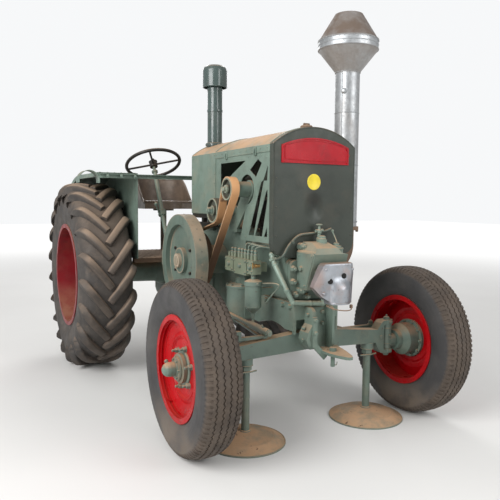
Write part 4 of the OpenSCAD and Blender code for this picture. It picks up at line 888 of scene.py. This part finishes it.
# Intake: a drawn steel pipe in glossy dark green, under a cap like an
# upturned cup, with a clamp below it and a collar where it leaves the bonnet.
pipe_green = painted("intake_enamel", (0.056, 0.082, 0.076), "intake_pipe", dust=0.3, wear=0.2, rough=0.18,
                     grain=0.0004, shine=0.6)
collars = Shape()
INTAKE = (-128, 1060)
collars.turned((*INTAKE, 1722), UP, [(66, 0), (66, 16), (58, 24), (53, 24)], 48)
for z in (1960, 2110):
    collars.turned((*INTAKE, z), UP, [(52, 0), (55, 1), (55, 17), (52, 18)], 48)
collars.bolt((INTAKE[0], INTAKE[1] - 55, 1969), AHEAD, 14, 9)
collars.bead((*INTAKE, 2134), UP, 84, 3, 64)
collars.made("intake_collars", pipe_green, "sage_paint")

# Flywheel, pulleys and belt: grey iron turned bright on the faces that the
# leather runs on, and painted elsewhere. The belt's joint is laced with wire.
SHAFT = SHAFT_Y, SHAFT_Z = 760, 945
WHEEL_FACE, WHEEL_BACK, WEB_FACE, HUB_FACE, SHAFT_END, RIM_R_OUT = -525, -446, -491, -517, -539, 297
fly_green = enamel(scaled(SAGE, 0.66), dust=0.55, wear=0.5, rough=0.46, grain=0.001)


def flywheel_paint(s):
    """Green, but brown iron on the drive pulley and tan dust round the rim."""
    green = fly_green(s)
    radius = s.place((0, axle_y + SHAFT_Y / 1000, SHAFT_Z / 1000), (0, 1, 1)).length()
    side = s.place().along("X")
    brown = s.noise(12, 5).mix((0.13, 0.075, 0.045), (0.26, 0.16, 0.10))
    pulley = side.ease(-0.4125, -0.4115) * side.ease(-0.35, -0.34, 1, 0)
    dusty = radius.ease(0.292, 0.297) * (s.noise(7, 5).ease(0.25, 0.6) * 0.6)
    shaft = radius.ease(0.0455, 0.0475, 1, 0) * side.ease(-0.5175, -0.5165, 1, 0)
    tone = dusty.mix(green["Base Color"], (0.40, 0.30, 0.21))
    tone = pulley.mix(tone, brown)
    return {**green, "Base Color": (shaft * 0.85).mix(tone, (0.42, 0.33, 0.24))}


wheel_green = finish("flywheel_paint", flywheel_paint)
dress(wheel_green, "flywheel", "belt_pulley")
pulley_enamel = enamel((0.21, 0.235, 0.18), dust=0.5, wear=0.6, rough=0.5, grain=0.0008)


def pulley_paint(s):
    """Pale enamel on the rims and hubs, nearly black deeper in than their face."""
    pale = pulley_enamel(s)
    inside = s.place().along("X").ease(-0.4075, -0.4045)
    return {**pale, "Base Color": (inside * 0.75).mix(pale["Base Color"], (0.03, 0.026, 0.020))}


fan_metal = finish("pulley_enamel", pulley_paint)
dress(fan_metal, "fan_pulley", "idler_pulley")
dress(cast_sage, "fan_bracket")
web = Shape()
web.bead((HUB_FACE + 2, *SHAFT), OUT, 80, 4, 64)
web.bead((WEB_FACE + 1, *SHAFT), OUT, 230, 5)
for x in (WHEEL_FACE + 3, WHEEL_BACK):
    web.bead((x, *SHAFT), OUT, RIM_R_OUT, 3.4, 128)
web.turned((SHAFT_END, *SHAFT), OUT, [(30, -1), (30, 3), (24, 5)], 40)
web.plate(flank(SHAFT_END, 752, 768, 893, 912), LEFT, (-7, 0, 0), 1.5)
for y, z in circle(24, RIM_R_OUT):
    web.turned((-484, SHAFT_Y + y, SHAFT_Z + z), (0, y, z), [(7, 0), (7, 4.5), (4, 4.5)], 12)
web.made("flywheel_fittings", wheel_green, "sage_paint", "crank", (0, *SHAFT))
plugs = Shape()
for y, z in circle(2, 146, 30) + circle(2, 146, 150):
    plugs.bolt((WEB_FACE, SHAFT_Y + y, SHAFT_Z + z), OUT, 18, 9)
plugs.made("flywheel_plugs", black_enamel, "black_paint", "crank", (0, *SHAFT))
PULLEY_R, PULLEY_IN, PULLEY_OUT = 186, 352, 508
drive = Shape()
for y, z in circle(6, 58):
    drive.bolt((PULLEY_OUT + 2, SHAFT_Y + y, SHAFT_Z + z), LEFT, 18)
drive.turned((PULLEY_OUT + 22, *SHAFT), LEFT, [(36, -2), (36, 3), (28, 5)], 40)
for x in (PULLEY_IN, PULLEY_OUT):
    drive.bead((x, *SHAFT), LEFT, PULLEY_R, 4)
drive.made("belt_pulley_fittings", wheel_green, "sage_paint", "crank", (0, *SHAFT))
FAN, IDLER, PULLEY_FACE = (288, 1402), (489, 1274), -408
fan = Shape()
fan.bead((PULLEY_FACE, *FAN), OUT, 63, 3, 64)
fan.turned((PULLEY_FACE - 2, *FAN), OUT, [(24, -1), (24, 6), (14, 8), (14, 14)], 24)
fan.bolt((PULLEY_FACE - 10, *FAN), OUT, 24, 12)
fan.made("fan_pulley_fittings", fan_metal, "bare_aluminium", "fan", (0, *FAN))
hub = Shape()
hub.bead((PULLEY_FACE, *IDLER), OUT, 73, 3, 64)
hub.bead((PULLEY_FACE - 1, *IDLER), OUT, 27, 2.5, 40)
hub.made("idler_pulley_rim", fan_metal, "bare_aluminium", "idler", (0, *IDLER))
bracket = Shape()
bracket.bolt((PULLEY_FACE - 7, *IDLER), OUT, 36, 22, stud=6)
for y in (462, 518):
    for x in (-240, -150):
        bracket.bolt((x, y, 1160), UP, 22)
bracket.made("bracket_bolts", cast_sage, "sage_paint")


def hide(s):
    """Brown leather, paler high on the belt and along its edges."""
    side = s.place().along("X")
    tone = s.noise(12, 5, stretch=(1, 0.3, 0.3)).mix((0.075, 0.038, 0.022), (0.20, 0.105, 0.055))
    high = s.place().along("Z").ease(1.04, 1.36) * 0.9
    tone = high.mix(tone, (0.74, 0.39, 0.18))
    rim = (side.ease(-0.4070, -0.4035, 1, 0) + side.ease(-0.3605, -0.3570)) * 0.6
    return {"Base Color": rim.mix(tone, (0.42, 0.28, 0.17)),
            "Roughness": s.patchy(20, 3, 0.5, 0.68),
            "Normal": s.noise(300, 3).bump(0.4, 0.0005)}


belt_leather = finish("belt_leather", hide)
dress(belt_leather, "drive_belt")
BELT_EDGE, LACES, LACE_STEP = -403, 7, 6.5
lacing = Shape()
for k in range(LACES):
    x = BELT_EDGE + LACE_STEP * k
    lacing.tube([(x, 352, 1349), (x, 368, 1341), (x, 384, 1330)], 1.5, 6)
lacing.made("belt_lacing", dusty_iron, "dusty_iron")

# Lubricator, fuel filter and pipes: cast and turned fittings on the right of
# the engine, all brushed over in green, with small pipes of painted copper.
dress(cast_sage, "fuel_filter", "steering_column")
painted("oily_pale_enamel", (0.20, 0.235, 0.165), "lubricator", dust=0.5, wear=0.7, rough=0.38, grain=0.001)
pipe_enamel = painted("pale_pipe_enamel", scaled(SAGE, 1.45), "pipes", dust=0.5, wear=0.6, rough=0.32)
FEEDS, FEED_X, FEED_Z = (140, 180, 224, 264, 304, 344, 394, 434), -292, 1020
BOX_FACE, LID_Z, FILTER = -318, 980, (-300, 150)
small = Shape()
for y in FEEDS:
    small.turned((FEED_X, y, FEED_Z), UP,
                 [(12, 0), (12, 6), (7, 8), (7, 16), (10, 18), (10, 26), (5, 30)], 16)
for k, y in enumerate(FEEDS[:4]):
    small.tube([(FEED_X, y, FEED_Z + 26), (FEED_X, y - 4, 1062 + 4 * k), (-270, y - 20, 1072 + 4 * k),
                (-230, 100 - 8 * k, 1066), (-176, 90 - 10 * k, 1050)], 3.5, 8)
for y0, y1, z in ((122, 196, 912), (206, 366, 898), (376, 486, 906)):
    for y in (y0 + 12, y1 - 12):
        for height in (z + 14, LID_Z):
            small.bolt((BOX_FACE, y, height), OUT, 10, 6)
    small.turned((BOX_FACE, (y0 + y1) / 2, 950), OUT, [(15, -1), (15, 5), (11, 7), (11, 12), (5, 14)], 20)
small.tube([(-260, 166, 851), (-262, 70, 866), (-260, -34, 877), (-250, -52, 862), (-256, 20, 800),
            (-262, 69, 754)], 4.5, 10)
small.turned((*FILTER, 902), UP, [(14, 0), (14, 8), (10, 10), (10, 16)], 6)
for z, radius in ((848, 49), (724, 46)):
    small.bead((*FILTER, z), UP, radius, 3, 48)
small.bolt((-300, 102, 860), AHEAD, 16, 12)
small.turned((*FILTER, 654), DOWN, [(7, 0), (7, 12), (10, 14), (10, 20), (6, 22)], 12)
small.made("engine_pipework", cast_sage, "sage_paint")
unions = Shape()
for place, axis in [((-178, 62, 1030), LEFT), ((-229, 46, 1002), (0.05, 0.5, 0.86)), ((22, -100, 838), UP)]:
    unions.turned(place, axis, [(21, -9), (23, -7), (23, 7), (21, 9)], 6)
unions.made("pipe_unions", pipe_enamel, "sage_paint")
valve = Shape()
valve.turned((-300, 96, 966), OUT, [(9, -10), (9, 10), (12, 12), (12, 20), (5, 22), (5, 34)], 12)
valve.tube([(-332, 96, 950), (-334, 96, 966), (-332, 96, 984)], 4, 8)
old_brass = finish("old_brass", lambda s: {
    "Base Color": s.noise(20, 4).mix((0.22, 0.13, 0.05), (0.45, 0.29, 0.11)), "Metallic": 0.8,
    "Roughness": s.patchy(30, 2, 0.35, 0.5)})
valve.made("brass_valve", old_brass, "dusty_iron")

# Fenders, rail and platform: folded sheet with a lip, riveted along its
# edges, and a steel floor with raised treads, brown under the driver's boots.
INNER_X, OUTER_X, DECK_Z, LIP_Z, LIP_FRONT, LIP_REAR = 590, 880, 1530, 1501, 1404, 2010
ROUND_X, ROUND_Y, ROUND_Z, ROUND_R = 940, 1402, 1468, 73
dress(sheet_sage, "fender_right", "fender_left", "cross_rail")
rivets = Shape()
for side in (-1, 1):
    for y in range(1420, 2000, 58):
        for x in (INNER_X + 14, OUTER_X - 14):
            rivet(rivets, (side * x, y, DECK_Z), UP, 5)
    for x in range(610, 870, 50):
        rivet(rivets, (side * x, 1412, DECK_Z), UP, 5)
    for z in range(960, 1500, 70):
        rivet(rivets, (side * INNER_X, 1420, z), (-side, 0, 0), 5)
    rivets.tube([(side * OUTER_X, LIP_FRONT, LIP_Z), (side * OUTER_X, LIP_REAR, LIP_Z)], 3, 8)
    turns = [math.pi * (0.05 + 0.9 * k / 16) for k in range(17)]
    rivets.tube([(side * (ROUND_X + ROUND_R * math.cos(t)), ROUND_Y, ROUND_Z + ROUND_R * math.sin(t))
                 for t in turns], 3, 8, 1)
    for x in (620, 720, 820):
        rivets.bolt((side * x, 1366, 1505), AHEAD, 16)
rivets.made("fender_rivets", sheet_sage, "sage_paint")
FLOOR_X, FLOOR_Z, TREAD = 570, 900, 8
treads = Shape()
for x in range(-FLOOR_X, FLOOR_X + 1, 38):
    low, high = x - TREAD / 2, x + TREAD / 2
    treads.plate([(low, 1480, FLOOR_Z), (high, 1480, FLOOR_Z), (high, 2160, FLOOR_Z), (low, 2160, FLOOR_Z)],
                 (0, 0, -0.5), (0, 0, 3.5), 1)
treads.made("platform_treads", dusty_iron, "dusty_iron")

# Driver's place: a pressed seat with a rolled edge and a worn brown cover, the
# steering wheel with its nut, and levers with turned knobs.
SEAT_X, SEAT_Y, SEAT_R, SIDE_Z, BACK_Z = -130, 2160, 220, 1322, 1524
SIDE_FRONT, SIDE_REAR, SLOPE = 1972, 2020, 204 / 210


def worn_hide(s):
    """Glazed brown cover, rubbed pale where it faces up."""
    tone = s.patchy(5, 5, rough=0.65).mix((0.070, 0.050, 0.038), (0.20, 0.145, 0.105))
    tone = (s.facing_up().ease(0.4, 1.0) * 0.35).mix(tone, (0.30, 0.20, 0.13))
    height = s.noise(90, 4) * 0.4 + s.noise(12, 3)
    return {"Base Color": tone, "Roughness": s.patchy(8, 3, 0.30, 0.5), "Coat Weight": 0.3,
            "Normal": height.bump(0.5, 0.003)}


seat_hide = finish("worn_seat_cover", worn_hide)
dress(seat_hide, "seat")
rim = Shape()
back = [(SEAT_X - x, SEAT_Y + y) for x, y in circle(40, SEAT_R)[:21]]
low_x, high_x = SEAT_X - SEAT_R, SEAT_X + SEAT_R
rim.tube([(low_x, SIDE_FRONT, SIDE_Z), (low_x, SIDE_REAR, SIDE_Z)]
         + [(x, y, min(BACK_Z, SIDE_Z + (y - SIDE_REAR) * SLOPE)) for x, y in back]
         + [(high_x, SIDE_REAR, SIDE_Z), (high_x, SIDE_FRONT, SIDE_Z), (low_x, SIDE_FRONT, SIDE_Z)],
         9, 10, 3)
rim.made("seat_rolled_edge", seat_hide, "dusty_iron")
cushion = Shape()
cushion.turned((SEAT_X, SEAT_Y, 1267), UP, [(196, 0), (208, 8), (210, 20), (202, 32), (180, 40), (120, 44),
                                            (40, 42), (6, 36)], 64)
for x, y in circle(6, 110):
    rivet(cushion, (SEAT_X + x, SEAT_Y + y, 1310), UP, 9)
cushion.made("seat_cushion", seat_hide, "belt_leather")
TILT, WHEEL_AT = math.radians(27.5), 816
LEAN = Vector((0, math.sin(TILT), math.cos(TILT)))
FOOT = Vector((-350, ARM_Y, ARM_Z))
wheel = Shape()
wheel.turned(FOOT + LEAN * (WHEEL_AT + 22), LEAN, [(34, -1), (34, 6), (28, 10), (16, 12)], 32)
wheel.bolt(FOOT + LEAN * (WHEEL_AT + 32), LEAN, 26)
wheel.bead(FOOT + LEAN * (WHEEL_AT + 20), LEAN, 212, 2.5)
wheel.made("steering_wheel_nut", black_enamel, "black_paint", "steering_wheel", FOOT + LEAN * WHEEL_AT)
column = Shape()
for along in (372, 398):
    column.bead(FOOT + LEAN * along, LEAN, 30, 3, 40)
column.turned(FOOT + LEAN * 750, LEAN, [(20, -10), (24, -8), (24, 8), (20, 10)], 24)
for x in (-386, -330):
    for y in (1336, 1408):
        column.bolt((x, y, 960), UP, 16)
column.tube([(-378, 1530, 1246), (-402, 1500, 1262), (-424, 1470, 1290), (-430, 1462, 1300)], 6, 10)
column.turned((-431, 1460, 1302), (-0.1, -0.2, 1), [(8, -8), (13, 0), (13, 10), (7, 18)], 20)
column.made("column_fittings", forged_sage, "sage_paint")
PEDALS, PEDAL_HALF = (-210, 190), 36
knobs = Shape()
knobs.bead((60, 1410, 890), UP, 27, 3, 40)
for low, high in ((x - PEDAL_HALF, x + PEDAL_HALF) for x in PEDALS):
    for y, z in ((1466 + 12 * k, 1007 + 7 * k) for k in range(4)):
        knobs.plate([(low, y, z), (high, y, z), (high, y + 6, z + 3.5), (low, y + 6, z + 3.5)],
                    DOWN, (0, -1.5, 3), 0.5)
knobs.made("pedal_treads", black_enamel, "black_paint")

# Stands: a pressed dish for a foot, welded to a tube with a screwed collar,
# once green, now tan with dust where the dish has gathered it.
STAND_X, COLLAR_Z = 424, 404
stand_paint = painted("dusty_stand_enamel", scaled(SAGE, 0.9), "axle_stands",
                      dust=1.0, wear=0.9, rough=0.55, grain=0.001)
stands = Shape()
for x in (-STAND_X, STAND_X):
    stands.bead((x, 0, 60), UP, 24, 7, 40)
    stands.bead((x, 0, COLLAR_Z + 28), UP, 38, 3, 48)
    stands.turned((x, 0, COLLAR_Z), UP, [(34, 0), (34, 20), (31, 24)], 6)
    stands.tube([(x + reach, y, COLLAR_Z - 8) for reach, y in ((-60, -14), (0, -26), (60, -14))], 5, 8)
    for radius in (110, 160, 222):
        stands.bead((x, 0, 62 - radius * 0.17 if radius < 170 else 8), UP, radius, 3, 80)
stands.made("stand_collars", stand_paint, "sage_paint")

# Studio: a pale floor that runs out of sight, a broad soft lamp on the
# tractor's right, weaker ones ahead and behind, and an even white surround.
FLOOR_SIZE = 60
LAMPS = [
    ((-5.5, -2.6, 4.0), (0.0, 0.1, 0.8), 4.5, 400),
    ((2.5, -6.0, 3.6), (0.0, -0.6, 0.9), 3.5, 140),
    ((2.5, 5.5, 4.5), (0.0, 0.5, 1.0), 4.0, 160),
]


def pale_floor(s):
    """Pale and matt near the tractor, as bright as the surround far away."""
    tone = s.noise(0.8, 4).mix((0.74, 0.73, 0.71), (0.80, 0.79, 0.77))
    far = s.place().length().ease(3.5, 14)
    return {"Base Color": tone, "Roughness": 0.85, "Emission Color": far.mix((0, 0, 0), (0.9, 0.9, 0.9)),
            "Emission Strength": 0.7}


floor = bpy.data.objects.new("floor", bpy.data.meshes.new("floor"))
half = FLOOR_SIZE / 2
corners = [(-half, -half, 0), (half, -half, 0), (half, half, 0), (-half, half, 0)]
floor.data.from_pydata(corners, [], [(0, 1, 2, 3)])
floor.data.materials.append(finish("pale_floor", pale_floor))
bpy.context.scene.collection.objects.link(floor)

for index, (place, target, size, power) in enumerate(LAMPS):
    lamp = bpy.data.objects.new(f"lamp_{index}", bpy.data.lights.new(f"lamp_{index}", "AREA"))
    lamp.data.shape = "DISK"
    lamp.data.size = size
    lamp.data.energy = power
    lamp.location = place
    lamp.rotation_mode = "QUATERNION"
    lamp.rotation_quaternion = (Vector(target) - Vector(place)).to_track_quat("-Z", "Y")
    bpy.context.scene.collection.objects.link(lamp)

world = bpy.data.worlds.new("surround")
world.use_nodes = True
bpy.context.scene.world = world
seen = Socket(world.node_tree).add("ShaderNodeLightPath", out=0)
strength = seen.ease(0, 1, 0.55, 1.0)
background = world.node_tree.nodes["Background"]
background.inputs["Color"].default_value = (0.93, 0.94, 0.95, 1)
world.node_tree.links.new(strength.link, background.inputs["Strength"])
bpy.context.scene.view_settings.view_transform = "Standard"
